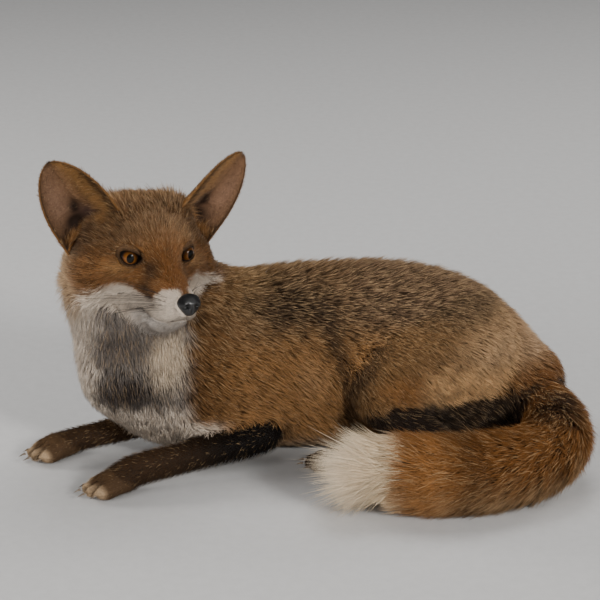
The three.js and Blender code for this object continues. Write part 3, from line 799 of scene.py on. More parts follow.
def painted(V, tail_share):
    """Colour and share of banded hairs at the places V, for the vertices of the skin."""
    H = to_head(V)
    x, y, z = V.T
    hx, hy, hz = H.T
    side = np.abs(hy)
    bib = bib_at(x, y)
    ragged = waves(V, 22, 1) * 0.6 + waves(V, 9, 2) * 0.5
    # trunk and neck
    crease = np.interp(z, [80, 115, 160], [54, 40, 24])
    # painted shade: near black low on the hip's near side, in the gap between thigh and tail
    thigh_gap_shade = smooth_step(84, 74, z + 2 * ragged) * smooth_step(96, 116, x) * smooth_step(0, -20, y)
    c = layered(
        (134, 98, 60),
        ((98, 76, 54), smooth_step(105, 160, z + 4 * ragged)),
        ((104, 80, 52), blot(x, z, -55, 178, 40, 26, LEVEL) * 0.8),
        ((48, 36, 24), 0.8 * blot(x + 3 * ragged, z, -8, 160, 44, 21, LEVEL)),
        ((152, 118, 82), 0.6 * blot(x, z, 14, 92, 18, 22, LEVEL)),
        ((96, 76, 57), smooth_step(30, 80, x) * smooth_step(130, 160, z)),
        ((168, 140, 110), 0.85 * smooth_step(185, 232, x) * smooth_step(84, 110, z + 5 * ragged)),
        # painted shade along the crease between trunk and thigh
        ((46, 35, 26), 0.75 * bell(x - crease, 0, 11) * smooth_step(180, 150, z)),
        ((108, 72, 40), smooth_step(200, 225, x) * smooth_step(112, 88, z)),
        # painted shade in the gap between thigh and tail
        ((30, 24, 19), 0.93 * thigh_gap_shade),
        ((86, 58, 30), smooth_step(-45, -95, x) * 0.8),
        ((130, 112, 92), smooth_step(34, 14, z) * smooth_step(-60, -20, x) * 0.8),
    )
    grizzle = 0.3 + 0.5 * smooth_step(110, 165, z) + 0.2 * smooth_step(100, 200, x)
    thigh = layered(
        (112, 84, 54),
        ((78, 61, 44), smooth_step(136, 160, z)),
        ((168, 137, 102), blot(x, z, 200, 124, 44, 26, LEVEL)),
        ((134, 92, 50), 0.8 * blot(x, z, 108, 90, 30, 16, LEVEL)),
        ((226, 182, 130), 0.9 * smooth_step(118, 92, z + 4 * ragged) * smooth_step(105, 145, x)),
        ((112, 76, 42), smooth_step(205, 232, x) * smooth_step(112, 88, z)),
        # painted shade: darker towards the thigh's front edge, by the crease with the trunk
        ((54, 40, 29), 0.85 * smooth_step(84, 58, x + 0.5 * (100 - z))),
        # painted shade: near black along the bottom of the thigh, in the gap above the tail
        ((34, 26, 20), 0.92 * smooth_step(76, 68, z + 2 * ragged) * smooth_step(84, 104, x)),
    )
    # the bib is greyer behind its white front edge and darker in a band low on the chest: partly the chest's
    # own grey, partly painted shade
    shaded = smooth_step(-214, -190, x + 5 * ragged)
    chest = layered(
        (242, 226, 208),
        ((116, 108, 101), smooth_step(-212, -186, x + 6 * ragged)),
        # painted shadow under the chin
        ((78, 70, 65), 0.7 * blot(x, z, -172, 137, 34, 16, LEVEL)),
        ((52, 44, 40), 0.95 * blot(x, z, -170, 86, 36, 19, LEVEL) * shaded),
        ((236, 220, 202), smooth_step(76, 58, z + 3 * ragged) * 0.95),
        ((222, 202, 176), 0.9 * blot(x, z, -130, 118, 18, 28, LEVEL)),
    )
    under = smooth_step(58, 42, z) * smooth_step(-60, -100, x) * TRUNK
    grizzle = mix(grizzle, np.full(len(V), 0.45), bib)
    # legs
    claw_gap = np.min([np.linalg.norm(V - p, axis=1) for claws in CLAWS.values() for p in claws], 0)
    # the forelegs are near black towards the elbow: partly their dark stockings, partly painted shade under the
    # chest
    foreleg = layered((14, 9, 6), ((50, 35, 22), smooth_step(-60, -140, x)))
    forepaw = layered((66, 49, 33), ((142, 120, 94), smooth_step(17, 9, claw_gap)))
    c = layered(
        # the shanks are near black: partly their dark stockings, partly painted shade under the thigh
        c, (thigh, THIGH), (chest, bib), ((190, 176, 160), under), ((36, 26, 19), SHANK), ((30, 22, 16), HFOOT),
        ((44, 32, 22), HPAW), (foreleg, FLEG), (forepaw, FPAW),
        # painted shade in the furrows between the toes
        ((16, 12, 9), 0.85 * furrowed(V - FLOW * 2) * (FPAW | HPAW)),
    )
    grizzle = np.where(SHANK | HFOOT | HPAW | FLEG | FPAW, 0.2, grizzle)
    # brush
    # painted shade: near black on the near top of the brush's base, in the gap under the thigh
    tail_gap_shade = smooth_step(58, 72, z) * smooth_step(-56, -72, y) * smooth_step(0.42, 0.3, tail_share)
    top = smooth_step(62, 78, z) * smooth_step(0.3, 0.4, tail_share) * smooth_step(0.7, 0.6, tail_share)
    tip = smooth_step(0.79, 0.86, tail_share + 0.012 * ragged)
    brush = layered(
        (92, 59, 28),
        ((116, 92, 66), smooth_step(44, 20, z + 4 * ragged)),
        ((58, 38, 20), 0.6 * bell(tail_share, 0.62, 0.035)),
        # painted shade in the gap between tail and thigh
        ((26, 20, 16), 0.93 * tail_gap_shade),
        ((60, 41, 25), 0.7 * top),
        ((134, 92, 52), bell(tail_share, 0.74, 0.07) * 0.7),
        (layered((250, 226, 190), ((166, 156, 144), smooth_step(0.88, 1.0, tail_share))), tip),
    )
    grizzle = np.where(TAIL, mix(0.35, 0.1, tip), grizzle)
    # head
    edge = np.interp(hx, [-60, -40, -24, -14, -4, 3, 8, 13, 18, 25, 33, 40, 47, 58, 70, 80],
                     [-64, -54, -42, -31, -26, -26, -28, -32, -36.5, -37, -32, -26, -21, -17, -13, -9])
    pale = smooth_step(1.5, -1.5, hz - edge + 1.5 * ragged) * smooth_step(2, 7, side + 8 * (hz < -30))
    rearward = np.where(hy < 0, smooth_step(-34, -52, hx), smooth_step(-12, -24, hx))
    tear = np.clip(blot(hx, hz, 25, -9, 9, 9) + 0.8 * blot(hx, hz, 20, -27, 8, 9), 0, 0.8)
    lip = hz - mouth_height(hx)
    streak = bell(lip, 1, 3.2) * smooth_step(-16, -6, hx) * smooth_step(26, 8, hx)
    mouth = bell(lip, 0, 1.5) * smooth_step(-12, 2, hx) * (side < 40)
    rim = np.zeros(len(V))
    for s in (1, -1):
        ahead, across, up = eye_place(V, s)
        r = np.hypot(across * 0.9, up * 1.1)
        rim = np.maximum(rim, 0.8 * smooth_step(8.8, 7.4, r) * (ahead > -6))
        rim = np.maximum(rim, 0.85 * blot(across, up, 13.5, -3.5, 3.5, 2.5) * (ahead > -6))
    head = layered(
        (104, 70, 38),
        ((88, 62, 38), smooth_step(20, -10, hx) * smooth_step(-4, 18, hz)),
        ((94, 67, 42), smooth_step(-10, -40, hx)),
        ((96, 61, 28), smooth_step(8, 24, hx) * smooth_step(15, 7, side)),
        ((132, 100, 62), bell(side, 42, 9) * bell(hz, -12, 6) * bell(hx, 0, 14) * 0.7),
        ((52, 33, 17), tear * smooth_step(5, 14, side)),
        (layered((204, 189, 172), ((160, 146, 132), rearward)), pale * (1 - 0.35 * rearward)),
        ((48, 28, 18), 0.8 * blot(hx, hz, 24, -35, 4.5, 3.5)),
        (layered((172, 162, 152), ((196, 186, 176), bell(hx, 20, 16))),
         smooth_step(0, -3, lip) * smooth_step(-12, -4, hx)),
        ((158, 134, 106), 0.6 * smooth_step(-30, -50, hx) * smooth_step(4, -12, hz)),
        # painted shade under the jaw
        ((100, 91, 84), smooth_step(-70, -78, hz) * HEAD),
        ((46, 40, 36), streak * 0.7),
        ((28, 20, 17), mouth * 0.95 * smooth_step(0, 14, hx)),
        ((34, 24, 18), rim * 0.85),
        ((18, 14, 12), np.isin(lid_ring, [0, 1, 2])),
        ((50, 37, 26), (lid_ring == 3) * 0.8),
        ((134, 98, 62), np.isin(lid_ring, [4, 5]) * 0.7),
    )
    head_grizzle = 0.15 + 0.5 * smooth_step(20, -5, hx) * smooth_step(-8, 12, hz) + 0.25 * rearward
    grizzle = np.where(HEAD, head_grizzle * (1 - 0.8 * pale), grizzle)
    # ears
    trench = blot(ear_lat - 0.12 + 0.5 * (ear_along - 0.3), ear_along, 0, 0.32, 0.13, 0.12)
    well = np.maximum(blot(ear_lat, ear_along, 0.3, 0.14, 0.28, 0.11), 0.85 * trench)
    rim = np.maximum(smooth_step(0.9, 0.985, np.abs(ear_lat)), smooth_step(0.93, 0.985, ear_along))
    cup = layered(
        (84, 61, 43),
        ((116, 84, 48), smooth_step(0.1, -0.75, ear_lat)),
        ((108, 83, 66), bell(ear_lat, 0.45, 0.35) * bell(ear_along, 0.5, 0.3) * 0.7),
    )
    cup = layered(
        # painted light: the left ear's inside is 45 % lighter than the right ear's
        cup * (1 + 0.45 * (hy > 0))[:, None],
        ((62, 46, 42), 0.9 * blot(ear_lat, ear_along, -0.08, 0.18, 0.34, 0.14)),
        ((116, 80, 44), smooth_step(0.08, -0.02, ear_along)),
        # painted shade: near black in the ear's well and the groove beside it
        ((22, 13, 8), np.clip(well * 1.2, 0, 0.95)),
        ((40, 27, 18), rim * 0.85),
    )
    back = layered(
        (46, 34, 26),
        ((100, 70, 40), smooth_step(0.35, 0.1, ear_along)),
        # painted rim light: the ear backs are lighter towards their side edges
        ((120, 84, 46), smooth_step(0.55, 0.95, np.abs(ear_lat)) * 0.8),
    )
    c = layered(c, (brush, TAIL), (head, HEAD), (np.where(ear_in[:, None], cup, back), EAR))
    grizzle = np.where(EAR, 0.15, grizzle)
    return limited(c), grizzle


SHOWN = 0.6 * LENGTH  # a hair is seen this far from its root
COLOUR, GRIZZLE = painted(V + FLOW * SHOWN[:, None], tail_share + SHOWN / run[-1])
SKIN_COLOUR, _ = painted(V, tail_share)
COLOUR = np.where(EAR[:, None] | (lid_ring >= 0)[:, None], COLOUR, net.smooth(COLOUR, 1))

NEXT = net.neighbours(9)


def walk(at, target, hops):
    """From vertex to vertex, always closer to the target."""
    best = ((V[at] - target) ** 2).sum(1)
    for _ in range(hops):
        near = NEXT[at]
        gap = ((V[near] - target[:, None]) ** 2).sum(2)
        k = gap.argmin(1)
        g = gap[np.arange(len(at)), k]
        better = g < best
        if not better.any():
            break
        at = np.where(better, near[np.arange(len(at)), k], at)
        best = np.where(better, g, best)
    return at


def morton(p):
    q = ((p - p.min(0)) / (np.ptp(p, 0).max() + 1e-6) * 1023).astype(np.int64)
    code = np.zeros(len(p), np.int64)
    for bit in range(10):
        for axis in range(3):
            code |= ((q[:, axis] >> bit) & 1) << (3 * bit + axis)
    return code


AREA = np.linalg.norm(np.cross(V[F[:, 1]] - V[F[:, 0]], V[F[:, 2]] - V[F[:, 0]]), axis=1) / 2
FACE_DENSITY = DENSITY[F].mean(1) * (DENSITY[F].min(1) > 0)


def rooted(faces, count):
    """Roots spread evenly over the faces: face, and share of each corner."""
    order = faces[np.argsort(morton(V[F[faces, 0]]), kind="stable")]
    weight = np.cumsum(AREA[order] * FACE_DENSITY[order])
    picks = (np.arange(count) + rng.random(count)) / count * weight[-1]
    face = order[np.minimum(np.searchsorted(weight, picks), len(order) - 1)]
    a, b = rng.random((2, count))
    flip = a + b > 1
    a, b = np.where(flip, 1 - a, a), np.where(flip, 1 - b, b)
    return face, np.stack([1 - a - b, a, b], 1)


TUFT = np.array([[0, 1, 3], [0, 3, 2], [0, 2, 1], [1, 4, 3], [3, 4, 2], [2, 4, 1]])
SPIKE = np.array([[0, 2, 3], [2, 1, 3], [1, 0, 3], [0, 1, 2]])
PATCH = 0.003
BEND_AT = 0.42


def spread(field, face, share):
    return (field[F[face]] * (share[..., None] if field.ndim > 1 else share)).sum(1)


OVERHANG = 13  # how far hair may reach out of the CAD model's box
BOX_LO, BOX_HI = (np.array(corner) * MM - ORIGIN for corner in CAD_BOX)
BOX_LO, BOX_HI = BOX_LO - OVERHANG, BOX_HI + OVERHANG


def held_in(root, tip):
    """Tips that would leave the allowed box are drawn back along their own hair."""
    reach = tip - root
    room = np.where(reach > 0, BOX_HI - root, root - BOX_LO).clip(0)
    share = np.min(room / np.maximum(np.abs(reach), 1e-6), 1).clip(0, 1)
    return root + reach * share[:, None]


def grow(name, faces, count, slot, spiky, stray, mid_tone, tip_tone, unevenness, root_tone=0.45):
    """One piece of coat: tufts with a root, a bend and a tip, or single spikes, in loose locks."""
    locks = 7.0 if spiky else 13.0
    face, share = rooted(faces, count)
    root = spread(V, face, share)
    at = F[face, share.argmax(1)]
    n0 = unit(spread(N, face, share))
    length, width, height, free = (spread(f, face, share) for f in (LENGTH, WIDTH, HEIGHT, FREE))
    lock = waves(root, locks, 5)
    length = length * (1 + 0.16 * lock + rng.normal(0, 0.13, count)).clip(0.5, 1.7)
    way = spread(FLOW, face, share)
    turn = 0.12 * waves(root, locks * 1.3, 6) + rng.normal(0, stray, count)
    side_way = np.cross(n0, way)
    way = unit(way - n0 * (way * n0).sum(1, keepdims=True)) + side_way * turn[:, None]
    way = unit(way)
    lifted = spread(raw_flow, face, share) + n0 * spread(LIFT, face, share)[:, None]
    raw = unit(lifted + side_way * turn[:, None] + rng.normal(0, 0.5 * stray, (count, 3)))

    def follow(start, at, way, step):
        target = start + way * step[:, None]
        at = walk(at, target, 18)
        n = N[at]
        p = target - n * ((target - V[at]) * n).sum(1, keepdims=True)
        way = way * 0.6 + FLOW[at] * 0.4
        return p, at, n, unit(way - n * (way * n).sum(1, keepdims=True))

    top = height * (1 + 0.09 * waves(root, locks * 0.8, 7) + rng.normal(0, 0.1, count))
    base = root - n0 * 0.6
    near_part = length * BEND_AT
    p1, at1, n1, way = follow(root, at, way, near_part)
    p2, at2, n2, _ = follow(p1, at1, way, length - near_part)
    c1 = mix(p1 + n1 * (top * 0.74)[:, None], root + raw * near_part[:, None], free)
    c2 = mix(p2 + n2 * top[:, None], root + raw * length[:, None], free)
    reach = np.maximum(np.linalg.norm(c2 - root, axis=1), 1e-6)
    c2 = held_in(root, root + (c2 - root) * np.minimum(1, 1.25 * np.maximum(length, top) / reach)[:, None])
    along = unit(c2 - base)
    roll = rng.normal(0, 0.35, count)[:, None]
    across = np.cross(n0, along)
    across = unit(across + n0 * roll)
    over = np.cross(along, across)
    w = (width * (1 + rng.normal(0, 0.18, count)).clip(0.5, 1.6))[:, None]

    def ring(c, size):
        half, flat = across * w * size / 2, over * w * size * 0.1
        return [c + half - flat, c - half - flat, c + over * w * size * 0.22]

    if spiky:
        points = ring(base, 1.1) + [c2]
        pattern, steps, sides = SPIKE, [0, 0, 0, 2], [0.5, -0.5, 0, 0]
    else:
        points = [base] + ring(c1, 1.0) + [c2]
        pattern, steps, sides = TUFT, [0, 1, 1, 1, 2], [0, 0.5, -0.5, 0, 0]
    each = len(points)
    verts = np.stack(points, 1).reshape(-1, 3)
    low = 0.35 + 0.9 * rng.random(len(verts))
    verts[:, 2] = np.maximum(verts[:, 2], low)
    tris = (pattern[None] + (np.arange(count) * each)[:, None, None]).reshape(-1, 3)
    mesh = make_mesh(name, verts, tris)

    c = spread(COLOUR, face, share)
    g = spread(GRIZZLE, face, share)
    bright = c.mean(1, keepdims=True)
    value = (1 + rng.normal(0, unevenness, count) + 0.05 * lock).clip(0.4, 1.8)[:, None]
    mid = c * value * mid_tone
    rootc = mix(c, np.repeat(bright, 3, 1), 0.2) * root_tone * value
    tipc = c * value * tip_tone
    kind = rng.random(count)
    cream = (kind < 0.42 * g)[:, None]
    dark = ((kind > 0.42 * g) & (kind < 0.6 * g))[:, None]
    tipc = np.where(cream, mix(tipc, CREAM * value, 0.65), tipc)
    tipc = np.where(dark, tipc * 0.4, tipc)
    mid = np.where(dark, mid * 0.7, mid)
    table = np.stack([rootc, mid, tipc], 1)[:, steps].reshape(-1, 3)
    colour_attribute(mesh, "Coat", limited(table))

    uv = (UVS[face] * share[..., None]).sum(1)
    offset = np.stack([np.array(sides), (np.array(steps) - 1) * 0.5], 1) * PATCH
    per_vertex = (uv[:, None] + offset[None]).reshape(-1, 2)
    layer = mesh.uv_layers.new(name="OFBake")
    layer.data.foreach_set("uv", per_vertex[tris.ravel()].ravel())
    add_piece(name, mesh, slot, FACE_MAT if name in ("coat_face", "coat_ears") else COAT_MAT)


# ---- Materials -------------------------------------------------------------------------------------
class Shading:
    """A material's nodes, with short ways to add to them."""

    def __init__(self, name, roughness, **sockets):
        self.material = bpy.data.materials.new(name)
        self.material.use_nodes = True
        self.tree = self.material.node_tree
        self.shader = self.tree.nodes["Principled BSDF"]
        for key, value in dict(sockets, Roughness=roughness).items():
            self.shader.inputs[key.replace("_", " ")].default_value = value

    def node(self, kind, inputs=(), **props):
        made = self.tree.nodes.new("ShaderNode" + kind)
        for key, value in props.items():
            setattr(made, key, value)
        for key, value in dict(inputs).items():
            if isinstance(value, bpy.types.NodeSocket):
                self.tree.links.new(value, made.inputs[key])
            else:
                made.inputs[key].default_value = value
        return made

    def math(self, operation, *values, clamp=False):
        return self.node("Math", enumerate(values), operation=operation, use_clamp=clamp).outputs[0]

    def attribute(self, name, output="Color"):
        return self.node("Attribute", attribute_name=name).outputs[output]

    def noise(self, scale, detail, **inputs):
        if "Vector" not in inputs:
            inputs["Vector"] = self.node("TexCoord").outputs["Object"]
        return self.node("TexNoise", {"Scale": scale, "Detail": detail, **inputs}).outputs[0]

    def ramp(self, fac, *stops):
        made = self.node("ValToRGB", {"Fac": fac})
        elements = made.color_ramp.elements
        while len(elements) < len(stops):
            elements.new(0.5)
        for element, (at, colour) in zip(elements, stops):
            element.position = at
            element.color = (*colour, 1)
        return made.outputs["Color"]

    def mixed(self, blend_type, fac, a, b):
        return self.node("Mix", {0: fac, 6: a, 7: b}, data_type="RGBA", blend_type=blend_type).outputs[2]

    def drive(self, socket, output):
        self.tree.links.new(output, self.shader.inputs[socket])

    def bumped(self, height, strength, depth_mm):
        bump = self.node("Bump", {"Height": height, "Strength": strength, "Distance": depth_mm / MM})
        self.drive("Normal", bump.outputs[0])
        return self.material


def grey(value):
    return (value, value, value)


def coat_material(name, roughness, grain, depth_mm, sheen, spread_of_tone):
    m = Shading(name, roughness, Sheen_Weight=sheen, Sheen_Roughness=0.45, Specular_IOR_Level=0.14)
    fine, broad = m.noise(grain, 3.0, Roughness=0.6), m.noise(70.0, 2.0)
    shade = m.math("ADD", m.math("MULTIPLY", fine, 0.7), m.math("MULTIPLY", broad, 0.3))
    tint = m.ramp(shade, (0.3, grey(1 - spread_of_tone)), (0.7, grey(1 + spread_of_tone)))
    m.drive("Base Color", m.mixed("MULTIPLY", 1.0, m.attribute("Coat"), tint))
    m.drive("Roughness", m.math("MULTIPLY_ADD", fine, 0.25, roughness - 0.12))
    return m.bumped(fine, 0.5, depth_mm)


def plain_material(name, colour, roughness, grain, depth_mm):
    m = Shading(name, roughness)
    fine = m.noise(grain, 4.0)
    m.drive("Base Color", m.ramp(fine, (0.3, [c * 0.6 for c in colour]), (0.7, [c * 1.4 for c in colour])))
    return m.bumped(fine, 0.4, depth_mm)


def floor_material():
    m = Shading("studio_floor", 0.85)
    m.drive("Base Color", m.ramp(m.noise(90.0, 3.0), (0.3, (0.50, 0.495, 0.49)), (0.7, (0.53, 0.525, 0.52))))
    return m.material


def nose_material():
    m = Shading("nose_leather", 0.4, Coat_Weight=0.4, Coat_Roughness=0.22, Specular_IOR_Level=0.5)
    place = m.node("TexCoord").outputs["Object"]
    cells = m.node("TexVoronoi", {"Vector": place, "Scale": 1100.0}, feature="DISTANCE_TO_EDGE").outputs[0]
    tint = m.ramp(cells, (0.0, grey(0.4)), (0.25, (1.15, 1.15, 1.2)))
    m.drive("Base Color", m.mixed("MULTIPLY", 1.0, m.attribute("Coat"), tint))
    return m.bumped(m.math("MINIMUM", cells, 0.25), 0.7, 0.5)


def eye_material():
    m = Shading("glass_eye", 0.3, Coat_Weight=0.8, Coat_Roughness=0.02, Coat_IOR=1.28, Specular_IOR_Level=0.1)
    math_of, dark = m.math, (0.008, 0.006, 0.005)
    ahead, h, v = m.node("SeparateXYZ", {0: m.attribute("Gaze", "Vector")}).outputs

    def squares(a, b):
        return math_of("ADD", math_of("POWER", a, 2.0), math_of("POWER", b, 2.0))

    radius = math_of("SQRT", math_of("ADD", math_of("MULTIPLY", h, h), math_of("MULTIPLY", v, v)))
    slit = squares(math_of("DIVIDE", h, 0.35), math_of("DIVIDE", v, 0.46))
    pupil = math_of("SMOOTH_MIN", math_of("MULTIPLY_ADD", slit, -5.0, 5.6), 1.0, 0.1, clamp=True)
    turn = math_of("MULTIPLY", math_of("ARCTAN2", v, h), 7.0)
    rays = m.node("CombineXYZ", {0: turn, 1: math_of("MULTIPLY", radius, 2.0)}).outputs[0]
    fibres = m.noise(2.2, 4.0, Vector=rays)
    tone_at = math_of("MULTIPLY_ADD", fibres, 0.18, math_of("SUBTRACT", radius, 0.09))
    iris = m.ramp(tone_at, (0.25, (0.06, 0.022, 0.005)), (0.4, (0.20, 0.075, 0.014)),
                  (0.6, (0.15, 0.05, 0.008)), (0.74, (0.05, 0.018, 0.005)), (0.82, dark))
    iris = m.mixed("MIX", math_of("GREATER_THAN", ahead, 0.0), (*dark, 1), iris)
    # painted lid shadow and light on the iris: darker towards the top and the nose, lighter low towards the
    # outer corner, a painted glow of light through the glass
    below = math_of("ADD", h, math_of("MULTIPLY", v, 1.3))
    low = math_of("MULTIPLY_ADD", below, -0.55, 0.75, clamp=True)
    iris = m.mixed("MULTIPLY", 1.0, iris, m.node("CombineColor", {0: low, 1: low, 2: low}).outputs[0])
    m.drive("Base Color", m.mixed("MIX", pupil, iris, (*grey(0.002), 1)))
    return m.material


SKIN_MAT = coat_material("fox_skin", 0.78, 900.0, 0.5, 0.0, 0.35)
COAT_MAT = coat_material("fox_coat", 0.6, 700.0, 0.15, 0.03, 0.18)
FACE_MAT = coat_material("fox_face_coat", 0.64, 1100.0, 0.1, 0.03, 0.16)

# ---- The skin piece --------------------------------------------------------------------------------
skin_mesh = make_mesh("fox_skin", V, F)
shade = mix(np.full(len(V), 0.85), np.full(len(V), 0.5), smooth_step(4, 14, LENGTH))
under_coat = np.where(EAR | (lid_ring >= 0), 1.0, shade)
colour_attribute(skin_mesh, "Coat", limited(SKIN_COLOUR * under_coat[:, None]))
skin = add_piece("fox_skin", skin_mesh, "orange_fur", SKIN_MAT, FLESH + ["ear_left", "ear_right"])
skin_mesh.uv_layers.new(name="OFBake")
bpy.context.view_layer.objects.active = skin
skin.select_set(True)
bpy.ops.object.mode_set(mode="EDIT")
bpy.ops.mesh.select_all(action="SELECT")
bpy.ops.uv.smart_project(angle_limit=math.radians(70), island_margin=0.001)
bpy.ops.object.mode_set(mode="OBJECT")
skin.select_set(False)
uv = np.empty(len(F) * 6, np.float32)
skin_mesh.uv_layers["OFBake"].data.foreach_get("uv", uv)
UVS = uv.reshape(-1, 3, 2).astype(float)

# ---- The coat --------------------------------------------------------------------------------------
BODY_LOOK = (0.24, 0.74, 1.45, 0.15)  # spread of the lie, tone halfway and at the tip, unevenness of tone
COAT = [  # piece, where it grows, tufts, slot, spiky, look
    ("face", HEAD & (hx > -12), 47000, "orange_fur", True, (0.26, 0.6, 1.8, 0.24)),
    ("crown", HEAD & (hx <= -12), 25000, "orange_fur", False, (0.28, 0.6, 1.8, 0.24)),
    ("ears", EAR, 24000, "ear_fur", True, (0.25, 0.8, 1.3, 0.12)),
    ("neck", NECK, 28000, "white_fur", False, BODY_LOOK),
    ("trunk_left", TRUNK & (y < -4), 33000, "orange_fur", False, BODY_LOOK),
    ("trunk_right", TRUNK & (y >= -4), 30000, "orange_fur", False, BODY_LOOK),
    ("thighs", THIGH, 22000, "orange_fur", False, BODY_LOOK),
    ("legs", SHANK | HFOOT | HPAW | FLEG | FPAW, 30000, "dark_fur", True, (0.22, 0.75, 1.4, 0.16)),
    ("tail_base", TAIL & (tail_share < 0.52), 20000, "orange_fur", False, BODY_LOOK),
    ("tail_end", TAIL & (tail_share >= 0.52), 22000, "white_fur", False, (0.36, 0.8, 1.4, 0.15, 0.72)),
]
for part, where, count, slot, spiky, look in COAT:
    grow(f"coat_{part}", np.flatnonzero(where[F[:, 0]]), count, slot, spiky, *look)

# ---- Eyes ------------------------------------------------------------------------------------------
def eye_mesh(s):
    local, f = unit_sphere(40, 64)
    bulge = 0.75 * smooth_step(0.72, 0.95, local[:, 0])
    inwards = -s * np.cross(HEAD_Z, GAZE[s])
    axes = np.stack([GAZE[s], inwards, HEAD_Z])
    verts = EYES[s] + (local * (EYE_RADIUS - 0.1 + bulge)[:, None]) @ axes
    if np.linalg.det(axes) < 0:
        f = f[:, ::-1]
    mesh = make_mesh(f"eye_glass_{s}", verts, f)
    vector_attribute(mesh, "Gaze", local)
    return mesh


EYE_MAT = eye_material()
for s, part in ((1, "left"), (-1, "right")):
    add_piece(f"eye_glass_{part}", eye_mesh(s), "glass_eye", EYE_MAT, [f"eye_{part}"])

# ---- Nose ------------------------------------------------------------------------------------------
def nose_mesh():
    q, f = unit_sphere(56, 72)
    across = np.sign(q[:, 1]) * np.abs(q[:, 1]) ** 0.9
    narrowed = 1 - 0.45 * smooth_step(0.25, -1.0, q[:, 2])
    p = np.stack([q[:, 0] * 9, across * 12.0 * narrowed, q[:, 2] * 11.0 - 0.4], 1)
    aside, up = np.abs(p[:, 1]), p[:, 2]
    front = q[:, 0] > 0.05
    pit = blot(aside, up, 5.0, 0.4, 2.1, 2.0)
    comma = blot(aside - 8.4 + 0.25 * (up + 1), up + 1.6 + 0.3 * (aside - 8), 0, 0, 2.6, 0.9)
    wing = blot(aside, up, 7.4, 2.6, 1.8, 1.8)
    groove = bell(p[:, 1], 0, 0.8) * smooth_step(2.5, -2, up)
    p[:, 0] += front * (-3.6 * pit - 1.9 * comma + 0.8 * wing - 1.1 * groove - 0.8 * smooth_step(3, 8, up))
    verts = NOSE + p @ HEAD_AXES
    # painted shade: the nostril pits are darker than the rest of the pad
    dark = np.clip(pit * 1.3 + comma, 0, 1)
    mesh = make_mesh("nose_pad", verts, f)
    colour_attribute(mesh, "Coat", mix(vec(0.008, 0.0075, 0.0075), vec(0.002, 0.002, 0.002), dark))
    return mesh


add_piece("nose_pad", nose_mesh(), "nose_skin", nose_material(), ["nose"])


# ---- Whiskers --------------------------------------------------------------------------------------
def whisker_mesh():
    verts, faces, base = [], [], 0
    sides, steps = 5, 12
    body = tree_of(V, F)
    for s in (1, -1):
        for row in range(4):
            for k in range(4):
                hx0, hz0 = 58 - 6.5 * k - 1.5 * row, -24.5 - 4.4 * row - 0.6 * k
                start = from_head(vec(hx0, s * 40, hz0))
                hit = body.ray_cast(start.tolist(), (-s * HEAD_Y).tolist())
                if hit[0] is None:
                    continue
                root = np.array(hit[0])
                length = rng.uniform(34, 46) + 9 * k
                way = vec(-0.72 + rng.normal(0, 0.08), s * (0.62 + rng.normal(0, 0.06)),
                          0.12 - 0.13 * row + rng.normal(0, 0.06))
                way = unit(way) @ HEAD_AXES
                t = np.linspace(0, 1, steps)[:, None]
                sag = vec(0, 0, -1) * (length * 0.16) * t**2
                back = vec(-1, 0, 0) * (length * 0.14) * t**2
                path = root + way * length * t + ((sag + back) @ HEAD_AXES)
                path = path - way * 1.5
                ways = unit(np.gradient(path, axis=0))
                a = unit(np.cross(ways, vec(0.1, 0.2, 1)))
                b = np.cross(ways, a)
                r = 0.2 * (1 - t[:, 0]) ** 0.6 + 0.03
                turn = np.arange(sides) * 2 * math.pi / sides
                round_it = a[:, None] * np.cos(turn)[None, :, None] + b[:, None] * np.sin(turn)[None, :, None]
                rings = path[:, None] + r[:, None, None] * round_it
                verts.append(rings.reshape(-1, 3))
                idx = base + np.arange(sides * steps).reshape(steps, sides)
                faces.append(halved(band(idx)))
                fan = [(idx[0, 0], idx[0, i + 1], idx[0, i]) for i in range(1, sides - 1)]
                fan += [(idx[-1, 0], idx[-1, i], idx[-1, i + 1]) for i in range(1, sides - 1)]
                faces.append(np.array(fan))
                base += sides * steps
    return make_mesh("whiskers", np.concatenate(verts), np.concatenate(faces))


whisker_mat = plain_material("whisker", (0.012, 0.010, 0.009), 0.45, 600.0, 0.05)
add_piece("whiskers", whisker_mesh(), "dark_fur", whisker_mat)
claw_mat = plain_material("claw_horn", (0.13, 0.095, 0.065), 0.42, 420.0, 0.2)
for name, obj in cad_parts.items():
    if name.startswith("claw_"):
        obj.data.materials.clear()
        obj.data.materials.append(claw_mat)

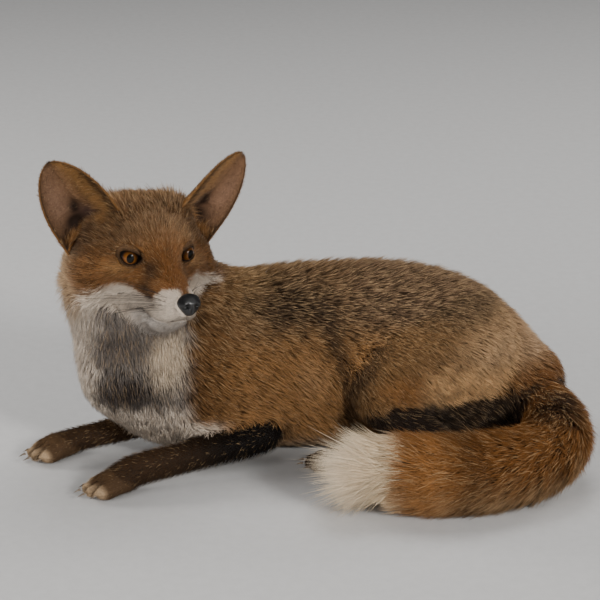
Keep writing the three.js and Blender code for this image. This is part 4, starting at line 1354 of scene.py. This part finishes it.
# ---- Floor, light and camera -----------------------------------------------------------------------
FLOOR_SIZE = 14
bpy.ops.mesh.primitive_plane_add(size=FLOOR_SIZE, location=(0, 0, 0))
floor = bpy.context.object
floor.name = "studio_floor"
floor.data.materials.append(floor_material())

CAMERA_ELEVATION, CAMERA_DISTANCE, CAMERA_AIM = math.radians(20), 2400, vec(0, 0, 154)
aim = CAMERA_AIM + ORIGIN
eye_at = aim + CAMERA_DISTANCE * vec(0, -math.cos(CAMERA_ELEVATION), math.sin(CAMERA_ELEVATION))
camera_data = bpy.data.cameras.new("camera")
camera_data.lens, camera_data.sensor_width, camera_data.clip_end = 144, 36, 50
camera = bpy.data.objects.new("camera", camera_data)
camera.location = eye_at / MM
camera.rotation_euler = (math.pi / 2 - CAMERA_ELEVATION, 0, 0)
bpy.context.scene.collection.objects.link(camera)
bpy.context.scene.camera = camera

SKY_COLOUR, SKY_STRENGTH = (0.80, 0.82, 0.85, 1), 0.12
LIGHTS = [  # name, place, aim, size, watts, colour, seen in gloss
    ("key", (1.75, -2.4, 1.5), (0, 0, 0.12), 0.6, 92, (1.0, 0.98, 0.95), True),
    ("fill", (-1.9, -2.0, 1.1), (-0.05, 0, 0.12), 1.4, 54, (1.0, 0.98, 0.96), False),
    ("top", (0.2, 0.9, 2.3), (0, 0, 0.1), 1.2, 25, (1.0, 1.0, 1.0), False),
    ("rim_left", (-2.1, 0.7, 0.9), (-0.1, 0, 0.15), 0.6, 30, (1.0, 0.98, 0.95), False),
    ("rim_right", (2.0, 1.3, 1.1), (0.1, 0, 0.12), 0.6, 18, (1.0, 0.98, 0.95), False),
]
for name, at, towards, size, watts, colour, glossy in LIGHTS:
    data = bpy.data.lights.new(name, "AREA")
    data.shape, data.size, data.energy, data.color = "SQUARE", size, watts, colour
    light = bpy.data.objects.new(name, data)
    light.location = at
    light.rotation_euler = (Vector(towards) - Vector(at)).to_track_quat("-Z", "Y").to_euler()
    light.visible_glossy = glossy
    bpy.context.scene.collection.objects.link(light)
world = bpy.data.worlds.new("studio")
bpy.context.scene.world = world
world.use_nodes = True
sky = world.node_tree.nodes["Background"].inputs
sky["Color"].default_value, sky["Strength"].default_value = SKY_COLOUR, SKY_STRENGTH
